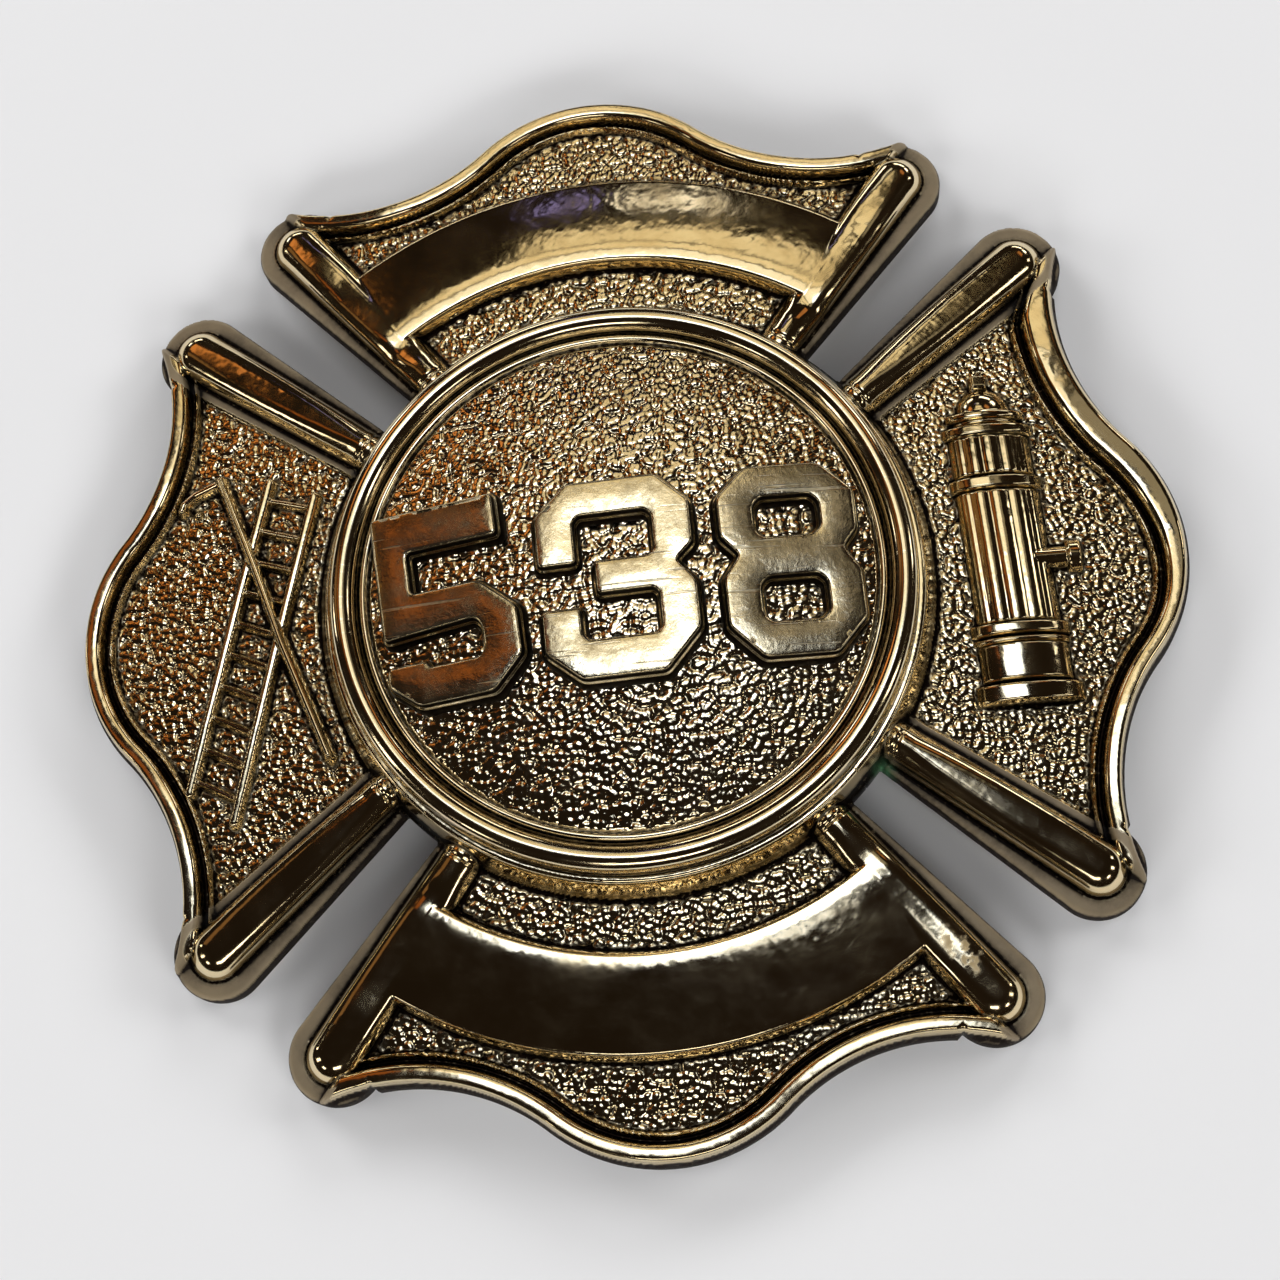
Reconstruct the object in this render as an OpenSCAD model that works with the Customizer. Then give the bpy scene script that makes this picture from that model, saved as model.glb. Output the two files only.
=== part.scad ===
// Firefighter badge: a struck four-lobed cross with a domed centre disc, a raised ring,
// three applied numerals and a pin clasp on its back. Millimetres, face up, top of the badge at +Y.

/* [Cross outline] */
// Distance from the centre to the top of each lobe
apex_r = 31.05; // [30.2:0.05:32]
// Radius of the round top of each lobe
crown_r = 9.8; // [8.6:0.1:11]
// Sideways distance from the middle of a lobe to the dip beside its top
dip_x = 14.3; // [13.6:0.1:15]
// Distance from the centre to the line on which the dips of a lobe lie
dip_y = 25.7; // [25.3:0.1:26.3]
// Distance along the diagonal to the middle of each rounded arm tip
tip_along = 29.2; // [28.4:0.1:30]
// Radius of the flange round each arm tip
tip_flange_r = 2.6; // [2.2:0.05:3]
// Half width of each slot at the hub
slot_half_in = 1.25; // [0.9:0.05:1.6]
// Half width of each slot between the arm tips
slot_half_out = 1.75; // [1.4:0.05:2.1]

/* [Plate] */
// Thickness of the plate
plate_t = 1.1; // [0.9:0.05:1.4]
// Width of the flat rim on which the badge rests
rest_w = 1; // [0.6:0.1:1.6]
// Rise of the plate from the lobe tops to the hub
dish_rise = 1.3; // [0.6:0.1:2]
// How far the stippled fields lie below the flange
field_drop = 0.2; // [0.1:0.05:0.35]
// Distance from an arm's axis to the edge of the field beside it
field_off = 2.05; // [1.7:0.05:2.4]

/* [Rim] */
// Distance from the lobe's edge to the outer bead
bead_inset = 0.55; // [0.4:0.05:0.8]
// Width of the outer bead
bead_w = 0.8; // [0.6:0.05:1]
// Height of the outer bead above the flange
bead_h = 0.85; // [0.4:0.05:1.1]
// Width of the groove between the two beads
groove_w = 0.35; // [0.25:0.05:0.5]
// Width of the inner bead
bead_in_w = 0.5; // [0.35:0.05:0.6]
// Height of the inner bead above the flange
bead_in_h = 0.5; // [0.25:0.05:0.7]

/* [Arms] */
// Distance along the diagonal to the root of each arm's axis
root_along = 17.8; // [17:0.1:18.5]
// Sideways distance from the diagonal to the root of each arm's axis
root_side = 2.9; // [2.6:0.05:3.2]
// How far the log's round end lies beyond the middle of the tip flange
log_reach = 0.65; // [0.3:0.05:0.9]
// Radius of a side lobe's log at its root
log_root_r = 1.15; // [1.05:0.05:1.25]
// Radius of each log at its tip
log_tip_r = 1.5; // [1.3:0.05:1.55]
// Height of each log above the plate
log_h = 1.25; // [0.9:0.05:1.5]
// Width of the flat strip that takes the log's place at the roots of the top and bottom lobes
strip_w = 1.3; // [1:0.05:1.6]

/* [Banners] */
// Inner radius of each banner
banner_in_r = 19.7; // [19:0.1:20.5]
// Outer radius of each banner
banner_out_r = 25.7; // [25:0.1:26.2]
// Height of each banner's inner edge above the plate
banner_in_h = 0.85; // [0.5:0.05:1.2]
// Height of each banner's outer edge above the plate
banner_out_h = 0.6; // [0.4:0.05:1]

/* [Hub] */
// Radius of the hub's flat top
hub_r = 16.4; // [16.2:0.05:16.8]
// Radius at the foot of the hub's sloping wall
hub_foot_r = 17.05; // [17:0.05:17.4]
// Height of the hub's top above the resting plane
hub_z = 3.9; // [3.5:0.05:4.4]
// Thickness of the hub's top
hub_t = 1.05; // [0.9:0.05:1.2]

/* [Centre disc] */
// Outer radius of the disc
disc_r = 16.15; // [16:0.05:16.4]
// Thickness of the disc's flange
disc_flange_t = 0.45; // [0.3:0.05:0.6]
// Radius to the middle of the ring's bead
ring_r = 15.3; // [15.1:0.05:15.4]
// Radius of the ring's bead
ring_bead_r = 0.72; // [0.6:0.02:0.8]
// Height of the ring's crest above the hub
ring_h = 1.55; // [1.3:0.05:1.9]
// Radius of the stippled dome
dome_r = 14; // [13.6:0.05:14.2]
// Height of the dome's edge above the hub
dome_edge_h = 0.85; // [0.7:0.05:1.1]
// Rise of the dome from its edge to its centre
dome_rise = 1.5; // [1:0.05:2.2]
// Thickness of the dome
dome_t = 0.9; // [0.7:0.05:1.1]
// Gap between the disc and the hub it is seated on
seat_gap = 0.05; // [0.02:0.01:0.15]

/* [Numerals] */
// Height of the middle numeral
digit_h = 11; // [10:0.1:11.6]
// Thickness of each numeral
digit_t = 0.95; // [0.7:0.05:1.3]
// Width of the numerals' strokes
stroke = 1.95; // [1.7:0.05:2.1]
// Distance between the middles of neighbouring numerals
digit_pitch = 9.2; // [9.1:0.05:9.6]
// Turn of the row of numerals, rising to the right
row_turn = 1; // [0:0.1:3]
// Turn of the left numeral about its own middle
left_turn = 3; // [0:0.5:4]
// How far the row lies below the disc's centre
row_drop = 0.5; // [0:0.05:0.8]
// Gap between each numeral and the dome
digit_gap = 0.05; // [0.02:0.01:0.1]
// Radius of the pins on the back of each numeral
digit_pin_r = 0.4; // [0.3:0.05:0.5]
// Clearance round the numerals' pins
digit_pin_gap = 0.06; // [0.04:0.01:0.12]

/* [Ladder and pole] */
// Distance from the badge's centre to the middle of the ladder
ladder_x = 21.35; // [21:0.05:21.8]
// Length of the ladder
ladder_l = 17.2; // [15:0.1:18]
// Distance between the middles of the ladder's rails
ladder_w = 2.95; // [2.4:0.05:3.2]
// Lean of the ladder
ladder_lean = 16.8; // [14:0.1:19]
// Width of the ladder's rails
rail_w = 0.5; // [0.35:0.05:0.7]
// Height of the ladder's rails above the field
rail_h = 0.5; // [0.3:0.05:0.7]
// Width of the ladder's rungs
rung_w = 0.4; // [0.25:0.05:0.5]
// Height of the ladder's rungs above the field
rung_h = 0.35; // [0.2:0.05:0.5]
// Number of rungs
rungs = 10; // [6:1:11]
// Width of the pike pole
pole_w = 0.6; // [0.4:0.05:0.7]
// Height of the pike pole above the field
pole_h = 0.7; // [0.5:0.05:0.9]
// Length of the pike pole
pole_l = 17.8; // [15:0.1:18.4]
// Lean of the pike pole, against the ladder's
pole_lean = 19.9; // [17:0.1:22]
// Distance of the pike pole beyond the ladder's middle
pole_side = 0.3; // [0:0.05:0.6]
// How far the pike pole's middle lies above the ladder's middle
pole_up = 1.4; // [1:0.1:1.8]
// Radius to the middle of the pike's hook
hook_r = 0.95; // [0.8:0.05:1.1]

/* [Hydrant] */
// Distance from the badge's centre to the hydrant's axis
hydrant_x = 21.2; // [20.8:0.05:21.8]
// Height of the hydrant, top nut to foot
hydrant_l = 18.6; // [17:0.1:19]
// Distance from the hydrant's foot to the badge's level axis
hydrant_foot = 8.5; // [8:0.1:9]
// Radius of the hydrant's barrel
barrel_r = 2.25; // [2:0.05:2.4]
// How far the hydrant's axis lies below the field
hydrant_sink = 1.3; // [1.1:0.05:1.5]
// Radius of the ribs on the barrel
rib_r = 0.16; // [0.1:0.01:0.2]
// Number of ribs on the barrel
ribs = 7; // [5:1:9]
// Radius of the side nozzle
nozzle_r = 1.0; // [0.8:0.05:1.2]
// Length of the side nozzle beyond the barrel
nozzle_l = 1.7; // [1.3:0.05:2]

/* [Pin clasp] */
// Length of the clasp's bar
clasp_l = 26; // [22:0.5:27]
// Width of the clasp's bar
clasp_w = 4; // [3:0.1:6]
// Thickness of the clasp's bar
clasp_t = 0.7; // [0.5:0.05:0.9]
// Distance from the resting plane to the clasp's lowest point
clasp_lift = 0.3; // [0.2:0.05:0.6]
// Radius of the pin
pin_r = 0.45; // [0.3:0.05:0.55]
// Length of the hinge block and of the catch
clasp_block_l = 3.2; // [2.4:0.1:4]
// Distance of the clasp above the badge's level axis
clasp_y = 5; // [0:0.5:8]

/* [Hidden] */
$fn = 96;

// Arcs of a lobe that points to +Y: a round top between two hollow curves that touch it.
crown_y = apex_r - crown_r;
dip_rise = dip_y - crown_y;
hollow_r = (dip_rise ^ 2 + dip_x ^ 2 - crown_r ^ 2) / (2 * (crown_r - dip_rise));
hollow_c = [-dip_x, dip_y + hollow_r];
crown_c = [0, crown_y];
touch_deg = atan2(hollow_c.y - crown_c.y, hollow_c.x - crown_c.x);
hollow_steps = 7;
crown_steps = 6;
tip_steps = 30;

// Arm on the left of that lobe, by its distances along the diagonal and off it.
diag_along = [-sqrt(0.5), sqrt(0.5)];
diag_side = [sqrt(0.5), sqrt(0.5)];
slot_deg = atan2(slot_half_out - slot_half_in, tip_along - root_along);
slot_n = [cos(45 - slot_deg), sin(45 - slot_deg)];
tip_side = slot_half_out + tip_flange_r / cos(slot_deg);
tip_c = tip_along * diag_along + tip_side * diag_side;
root_c = root_along * diag_along + root_side * diag_side;
arm_l = norm(tip_c - root_c);
arm_dir = (tip_c - root_c) / arm_l;
arm_n = [arm_dir.y, -arm_dir.x];
arm_deg = atan2(arm_dir.y, arm_dir.x);

// Levels, from the resting plane.
dish_slope = dish_rise / (apex_r - hub_foot_r);
dish_deg = atan(dish_slope);
body_r = norm([tip_along, tip_side]) + tip_flange_r + 1;
bead_off = log_tip_r * 0.6;
crest_share = 0.22;
rim_inset = bead_inset + bead_w + groove_w + bead_in_w;
field_gap = 0.1;
overlap = 0.6;
long_overlap = 4;
hub_wall = 0.55;
banner_step = 0.25;
strip_share = 0.85;
disc_z = hub_z + seat_gap;
dome_ball_r = (dome_r ^ 2 + dome_rise ^ 2) / (2 * dome_rise);
dome_ball_z = hub_z + dome_edge_h + dome_rise - dome_ball_r;
pin_proud = 0.35;
clasp_z = hub_z - hub_t - seat_gap;

function plate_z(r) = plate_t + (apex_r - r) * dish_slope;

function toward(from, to, distance) = from + (to - from) / norm(to - from) * distance;
function mirrored(points) = [for (i = [len(points) - 1:-1:0]) [-points[i].x, points[i].y]];

// Points of an arc, both ends included.
function arc(c, r, a0, a1, n) =
    [for (i = [0:n]) let (a = a0 + (a1 - a0) * i / n) c + r * [cos(a), sin(a)]];

// Angle about the hollow curve's centre at which it, set in by inset, meets the line that runs
// beside the left arm's axis at the distance off.
function hollow_end(inset, off) =
    let (d = (hollow_c - root_c) * arm_n - off,
         p = -d * arm_n - sqrt((hollow_r + inset) ^ 2 - d ^ 2) * arm_dir)
    atan2(p.y, p.x);

// Left half of a lobe's edge, set in by inset, from that line to the middle of the round top.
function half_edge(inset, off) =
    let (hollow = arc(hollow_c, hollow_r + inset, hollow_end(inset, off), touch_deg - 180, hollow_steps),
         crown = arc(crown_c, crown_r - inset, touch_deg, 90, crown_steps))
    concat([for (i = [0:hollow_steps - 1]) hollow[i]], [for (i = [0:crown_steps - 1]) crown[i]]);

// Closes the left half of an outline whose top lies on the lobe's axis.
function whole(left, inset) = concat(left, [[0, apex_r - inset]], mirrored(left));

// Flange outline of a lobe, with its two arm tips.
module lobe_outline() {
    slot_in = root_along * diag_along + slot_half_in * diag_side;
    slot_out = tip_along * diag_along + slot_half_out * diag_side;
    polygon(whole(concat([slot_in * 2 - toward(slot_in, slot_out, 2), tip_c - tip_flange_r * slot_n, tip_c],
        half_edge(0, field_off)), 0));
    for (side = [0, 1]) mirror([side, 0])
        polygon(arc(tip_c, tip_flange_r, 225 - slot_deg, 585 - slot_deg - 360 / tip_steps, tip_steps - 1));
}

// Area of a lobe inside its arms, its edge set in by inset and its sides off the arms' axes.
module inner_area(inset, off) {
    corner = root_c + off * arm_n - long_overlap * arm_dir;
    polygon(whole(concat([corner], half_edge(inset, off)), inset));
}

// Stippled field of a lobe, from the hub to the rim.
module field_outline() {
    difference() {
        inner_area(rim_inset, field_off);
        circle(hub_foot_r);
    }
}

// Solid of revolution of the given height above the plate's upper face.
module plate_disc(lift) {
    rotate_extrude()
        polygon([[0, 0], [body_r, 0], [body_r, plate_z(body_r) + lift], [0, plate_z(0) + lift]]);
}

module on_lobes(turns) {
    for (turn = turns) rotate(turn) children();
}

// Band that follows a lobe's edge between two insets and ends inside the arms' logs.
module edge_band(from, to, off) {
    outer = half_edge(from, off);
    inner = half_edge(to, off);
    polygon(concat(whole(outer, from), [for (p = whole(inner, to)) [-p.x, p.y]]));
}

// One bead of a lobe's rim: a band with a narrower crest.
module rim_bead(inset, w, h) {
    top = plate_z(apex_r - inset) + h;
    crest = w * crest_share;
    translate([0, 0, plate_t / 2]) {
        linear_extrude(top - crest - plate_t / 2) edge_band(inset, inset + w, bead_off);
        linear_extrude(top - plate_t / 2) edge_band(inset + crest, inset + w - crest, bead_off + field_gap);
    }
}

// Rounded log along an arm, from its root to its tip, on the sloping plate.
module arm_log(root_r) {
    length = arm_l + log_reach;
    root_z = plate_z(norm(root_c)) + log_h - root_r;
    fall = root_z - (plate_z(norm(tip_c)) + log_h - log_tip_r);
    // The underside is flat, half way down the plate at both ends
    root_deep = log_h - root_r + plate_t / 2;
    tip_deep = log_h - log_tip_r + plate_t / 2;
    translate([root_c.x, root_c.y, root_z]) rotate([0, 90 + atan(fall / length), arm_deg])
        intersection() {
            rotate_extrude() {
                polygon([[0, -overlap], [root_r, -overlap], [log_tip_r, length], [0, length]]);
                translate([0, length]) intersection() {
                    circle(log_tip_r);
                    square(log_tip_r);
                }
            }
            rotate([90, 0, 0]) linear_extrude(3 * log_tip_r, center = true)
                polygon([[-2 * log_tip_r, -2 * overlap], [root_deep, -2 * overlap],
                         [tip_deep, length + 2 * log_tip_r], [-2 * log_tip_r, length + 2 * log_tip_r]]);
        }
}

// Flat strip that stands in for the log between the hub and the banner.
module arm_strip_outline() {
    reach = banner_out_r - norm(root_c);
    out_w = log_tip_r * strip_share;
    translate(root_c) rotate(arm_deg)
        polygon([[-strip_w, -strip_w / 2], [reach, -out_w], [reach, out_w], [-strip_w, strip_w / 2]]);
}

// Banner and the two strips that join it to the hub, all at one level.
module banner() {
    arm_polar = atan2(root_c.y + arm_dir.y * long_overlap, root_c.x + arm_dir.x * long_overlap);
    rotate(180 - arm_polar) rotate_extrude(angle = 2 * arm_polar - 180)
        polygon([[banner_in_r, plate_z(banner_in_r) - plate_t / 2],
                 [banner_in_r, plate_z(banner_in_r) + banner_in_h - banner_step],
                 [banner_in_r + banner_step, plate_z(banner_in_r) + banner_in_h],
                 [banner_out_r - banner_step, plate_z(banner_out_r) + banner_out_h],
                 [banner_out_r, plate_z(banner_out_r) + banner_out_h - banner_step],
                 [banner_out_r, plate_z(banner_out_r) - plate_t / 2]]);
    intersection() {
        translate([0, 0, plate_t]) linear_extrude(hub_z)
            for (side = [0, 1]) mirror([side, 0]) arm_strip_outline();
        rotate_extrude()
            polygon([[hub_r, 0], [banner_out_r, 0],
                     [banner_out_r, plate_z(banner_out_r) + banner_out_h],
                     [banner_in_r, plate_z(banner_in_r) + banner_in_h],
                     [hub_r, plate_z(hub_foot_r) + banner_in_h]]);
    }
}

// Raises a flat outline above the stippled fields, its top following the sloping plate.
module raised_on_field(h) {
    intersection() {
        translate([0, 0, plate_t / 2]) linear_extrude(hub_z) children();
        plate_disc(h - field_drop);
    }
}

module bar(from, to, w) {
    run = to - from;
    translate(from) rotate(atan2(run.y, run.x)) translate([0, -w / 2]) square([norm(run), w]);
}

// Ladder crossed by a pike pole, drawn for the right-hand lobe and mirrored to the left.
module ladder_and_pole() {
    raised_on_field(rail_h) translate([ladder_x, 0]) rotate(ladder_lean)
        for (side = [-1, 1])
            bar([side * ladder_w / 2, -ladder_l / 2], [side * ladder_w / 2, ladder_l / 2], rail_w);
    raised_on_field(rung_h) translate([ladder_x, 0]) rotate(ladder_lean)
        for (i = [0:rungs - 1]) {
            y = ladder_l * ((i + 0.5) / rungs - 0.5);
            bar([-ladder_w / 2, y], [ladder_w / 2, y], rung_w);
        }
    raised_on_field(pole_h) translate([ladder_x, 0]) rotate(-pole_lean) {
        bar([pole_side, pole_up - pole_l / 2], [pole_side, pole_up + pole_l / 2], pole_w);
        translate([pole_side + hook_r, pole_up + pole_l / 2 - hook_r]) difference() {
            circle(hook_r + pole_w / 2);
            circle(hook_r - pole_w / 2);
            translate([-hook_r * 2, -hook_r * 2]) square([hook_r * 4, hook_r * 2]);
        }
    }
}

// Columns of the hydrant's outline
hydrant_up = 0;
hydrant_out = 1;
rib_from = 0.245;
rib_share = 0.57;
rib_fan_deg = 84;
nozzle_neck = 0.85;
nozzle_cap_l = 0.6;
// Turned outline of the hydrant, foot to top nut. Columns: share of its height, share of the barrel's radius.
hydrant_profile = [
    [0.000, 1.16], [0.030, 1.16], [0.045, 1.06], [0.190, 1.06], [0.200, 1.14], [0.240, 1.14],
    [0.250, 1.00], [0.640, 1.00], [0.650, 1.09], [0.690, 1.09], [0.700, 0.97], [0.810, 0.97],
    [0.820, 1.08], [0.850, 1.08], [0.860, 0.98], [0.885, 0.98], [0.915, 0.90], [0.945, 0.80],
    [0.965, 0.66], [0.966, 0.60], [1.000, 0.60]];

module hydrant() {
    translate([hydrant_x, 0, plate_z(hydrant_x) - field_drop]) rotate([0, dish_deg, 0]) intersection() {
        union() {
            translate([0, -hydrant_foot, -hydrant_sink]) rotate([-90, 0, 0]) {
                rotate_extrude() polygon(concat([[0, 0]],
                    [for (row = hydrant_profile) [row[hydrant_out] * barrel_r, row[hydrant_up] * hydrant_l]],
                    [[0, hydrant_l]]));
                for (i = [0:ribs - 1])
                    rotate(rib_fan_deg * ((i + 0.5) / ribs - 0.5) - 90)
                        translate([barrel_r, 0, hydrant_l * rib_from])
                            cylinder(r = rib_r, h = hydrant_l * rib_share, $fn = 24);
            }
            translate([0, -nozzle_r / 2, 0]) rotate([0, 90, 0]) {
                cylinder(r = nozzle_r * nozzle_neck, h = barrel_r + nozzle_l);
                translate([0, 0, barrel_r + nozzle_l - nozzle_cap_l * 2])
                    cylinder(r = nozzle_r, h = nozzle_cap_l);
            }
        }
        translate([-hydrant_l / 2, -hydrant_foot - 1, -plate_t / 2])
            cube([hydrant_l, hydrant_l + 2, hydrant_l]);
    }
}

module cross_body() {
    color("#C9B27C") {
        difference() {
            intersection() {
                union() {
                    linear_extrude(hub_z + 1) on_lobes([0:90:270]) lobe_outline();
                    cylinder(r = hub_foot_r, h = hub_z + 1);
                }
                rotate_extrude() polygon([[0, 0], [body_r, 0], [body_r, plate_z(body_r)],
                    [hub_foot_r, plate_z(hub_foot_r)], [hub_r, hub_z], [0, hub_z]]);
            }
            // Hollow back, under the hub and under the sloping plate
            rotate_extrude() polygon([[0, -1], [apex_r - rest_w, -1], [apex_r - rest_w, 0],
                [hub_foot_r - hub_wall, plate_z(hub_foot_r) - plate_t],
                [hub_r - hub_t, hub_z - hub_t], [0, hub_z - hub_t]]);
            // Sunken fields
            difference() {
                linear_extrude(hub_z) on_lobes([0:90:270]) field_outline();
                plate_disc(-field_drop);
            }
        }
        on_lobes([0:90:270]) {
            rim_bead(bead_inset, bead_w, bead_h);
            rim_bead(bead_inset + bead_w + groove_w, bead_in_w, bead_in_h);
        }
        on_lobes([0, 180]) banner();
        on_lobes([0:90:270])
            for (side = [0, 1]) mirror([side, 0, 0]) arm_log(log_root_r);
        mirror([1, 0, 0]) ladder_and_pole();
        hydrant();
    }
}

// Half section of the disc: a dome of even thickness inside a flange that carries the ring's bead.
module disc_section() {
    difference() {
        intersection() {
            translate([0, dome_ball_z]) circle(dome_ball_r);
            translate([0, disc_z]) square([ring_r, hub_z]);
        }
        translate([0, dome_ball_z]) circle(dome_ball_r - dome_t);
    }
    translate([dome_r - dome_t, disc_z]) square([disc_r - dome_r + dome_t, disc_flange_t]);
    translate([ring_r, hub_z + ring_h - ring_bead_r]) circle(ring_bead_r);
}

module center_disc() {
    color("#BFA66B")
        difference() {
            rotate_extrude() disc_section();
            for (place = [-1:1]) on_dome(place) digit_pins(digit_pin_r + digit_pin_gap);
        }
}

// Moves a numeral to its place in the row, upright on the dome.
module on_dome(place) {
    rotate(row_turn) translate([0, 0, dome_ball_z])
        rotate([0, asin(place * digit_pitch / dome_ball_r), 0]) rotate([asin(row_drop / dome_ball_r), 0, 0])
            translate([0, 0, dome_ball_r]) rotate(place < 0 ? left_turn : 0) children();
}

module digit_pins(r) {
    for (side = [-1, 1])
        translate([0, side * (digit_h - stroke) / 2, -dome_t - pin_proud])
            cylinder(r = r, h = dome_t + 2 * pin_proud, $fn = 32);
}

// A numeral's outline raised from the dome, with its two pins.
module raised_digit() {
    difference() {
        translate([0, 0, -overlap]) linear_extrude(digit_t + overlap) children();
        translate([0, 0, -dome_ball_r]) sphere(dome_ball_r + digit_gap, $fn = 200);
    }
    digit_pins(digit_pin_r);
}

module pill(w, h, r) {
    translate([-w / 2 + r, -h / 2]) square([w - 2 * r, h]);
    translate([-w / 2, -h / 2 + r]) square([w, h - 2 * r]);
    for (x = [-1, 1], y = [-1, 1]) translate([x * (w / 2 - r), y * (h / 2 - r)]) circle(r, $fn = 32);
}

// Widths of the numerals, and how much is cut off each of their corners.
digit_w = digit_h * 0.68;
wide_w = digit_h * 0.76;
cut = digit_w * 0.25;

module numeral_5() {
    side = digit_w / 2;
    top = digit_h / 2;
    bowl_top = digit_h * 0.11;
    bowl_mid = (bowl_top - top) / 2;
    stem = stroke * 0.85;
    hook = stroke * 1.2;
    color("#A9712F") on_dome(-1) raised_digit() difference() {
        polygon([[-side, top], [side - stroke / 3, top], [side - stroke / 3, top - stroke],
                 [-side + stem, top - stroke], [-side + stem, bowl_top], [side - cut, bowl_top],
                 [side, bowl_top - cut], [side, -top + cut], [side - cut, -top], [-side + cut, -top],
                 [-side, -top + cut], [-side, -top + hook], [0, -top + hook], [0, bowl_top - hook],
                 [-side, bowl_top - hook]]);
        translate([0, bowl_mid]) pill(digit_w - 2 * stroke, bowl_top + top - 2 * stroke, stroke / 2);
    }
}

module numeral_3() {
    side = wide_w / 2;
    top = digit_h / 2;
    counter = (digit_h - 3 * stroke) / 2;
    notch = stroke / 2;
    waist = digit_h * 0.04;
    inner = -stroke / 2;
    color("#D8C890") on_dome(0) raised_digit() difference() {
        polygon([[-side, waist + notch], [-side, top - cut], [-side + cut, top], [side - cut, top],
                 [side, top - cut], [side, waist + notch], [side - notch, waist], [side, -waist - notch],
                 [side, -top + cut], [side - cut, -top], [-side + cut, -top], [-side, -top + cut],
                 [-side, -waist - notch], [inner, -waist - notch], [inner, waist + notch]]);
        for (side = [-1, 1])
            translate([0, side * (counter + stroke) / 2]) pill(wide_w - 2 * stroke, counter, stroke / 2);
    }
}

module numeral_8() {
    side = digit_w / 2;
    top = digit_h / 2;
    counter = (digit_h - 3 * stroke) / 2;
    notch = stroke / 2;
    left = [[-side + cut, -top], [-side, -top + cut], [-side, -notch], [-side + notch, 0], [-side, notch],
            [-side, top - cut], [-side + cut, top]];
    color("#D8C890") on_dome(1) raised_digit() difference() {
        polygon(concat(left, mirrored(left)));
        for (side = [-1, 1])
            translate([0, side * (counter + stroke) / 2]) pill(digit_w - 2 * stroke, counter, stroke / 2);
    }
}

// Bar with a hinge block, a straight pin and a catch.
module pin_clasp() {
    depth = clasp_z - clasp_t - clasp_lift;
    block_w = clasp_w * 0.8;
    pin_lift = 0.05;
    color("#B9B4A6") translate([0, clasp_y, clasp_z - clasp_t]) {
        translate([-clasp_l / 2, -clasp_w / 2, 0]) cube([clasp_l, clasp_w, clasp_t]);
        for (side = [-1, 1])
            translate([side * (clasp_l - clasp_block_l) / 2 - clasp_block_l / 2, -clasp_w / 2, -depth])
                cube([clasp_block_l, block_w, depth]);
        translate([-(clasp_l - clasp_block_l) / 2, block_w / 2 - clasp_w / 2, -depth + pin_r + pin_lift])
            rotate([0, 90, 0]) cylinder(r = pin_r, h = clasp_l - clasp_block_l, $fn = 32);
    }
}

cross_body();
center_disc();
numeral_5();
numeral_3();
numeral_8();
pin_clasp();
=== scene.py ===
import math
from itertools import chain
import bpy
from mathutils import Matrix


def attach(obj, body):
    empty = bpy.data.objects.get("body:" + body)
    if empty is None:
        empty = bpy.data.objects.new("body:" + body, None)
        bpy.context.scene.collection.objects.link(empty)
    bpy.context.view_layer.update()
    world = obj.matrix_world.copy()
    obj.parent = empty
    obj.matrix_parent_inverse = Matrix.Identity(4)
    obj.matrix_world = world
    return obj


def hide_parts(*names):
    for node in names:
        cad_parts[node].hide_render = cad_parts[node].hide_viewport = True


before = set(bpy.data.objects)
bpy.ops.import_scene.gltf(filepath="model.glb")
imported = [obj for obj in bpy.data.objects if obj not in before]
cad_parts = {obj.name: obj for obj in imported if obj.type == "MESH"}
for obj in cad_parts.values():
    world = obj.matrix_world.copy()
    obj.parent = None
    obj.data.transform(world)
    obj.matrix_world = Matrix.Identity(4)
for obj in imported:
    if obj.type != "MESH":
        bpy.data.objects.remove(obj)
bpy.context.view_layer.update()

from types import SimpleNamespace

import bpy
import numpy as np
from mathutils import Matrix, Vector
from mathutils.geometry import delaunay_2d_cdt

scene = bpy.context.scene
MM = 0.001

# Sizes as in the part's source, in millimetres
APEX_R, CROWN_R = 31.05, 9.8  # from the centre to a lobe's top, and the radius of that round top
DIP_X, DIP_Y = 14.3, 25.7  # place of the dip beside a lobe's top, across and along
TIP_ALONG, TIP_R = 29.2, 2.6  # along the diagonal to the middle of an arm's round tip, and its radius
SLOT_IN, SLOT_OUT = 1.25, 1.75  # half width of a slot at the hub and between the arm tips
PLATE_T, DISH_RISE = 1.1, 1.3  # thickness of the plate, and its rise from the lobe tops to the hub
REST_W = 1.0  # width of the flat rim on which the badge rests
FIELD_DROP = 0.2  # how far the stippled fields lie below the flange
ROOT_ALONG, ROOT_SIDE = 17.8, 2.9  # along the diagonal and sideways to the root of an arm's axis
LOG_H, LOG_REACH = 1.25, 0.65  # height of a log, and how far its round end lies beyond the tip's middle
BANNER_IN, BANNER_OUT = 19.7, 25.7  # inner and outer radius of a banner
HUB_R, HUB_FOOT = 16.4, 17.05  # radius of the hub's flat top, and at the foot of its sloping wall
HUB_Z, HUB_T = 3.9, 1.05  # height of the hub's top above the resting plane, and its thickness
DISC_R, SEAT = 16.15, 0.05  # radius of the disc, and its gap above the hub
RING_R, RING_BEAD, RING_H = 15.3, 0.72, 1.55  # ring's bead: middle, radius, height of its crest
DOME_R, DOME_EDGE, DOME_RISE, DOME_T = 14.0, 0.85, 1.5, 0.9  # radius, edge's height, rise, thickness
DIGIT_T, PITCH = 0.95, 9.2  # thickness of a numeral, and the distance from one to the next
ROW_TURN, LEFT_TURN = 1.0, 3.0  # turn of the row of numerals and of the left one, in degrees
ROW_DROP = 0.5  # how far the row lies below the disc's centre

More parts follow.
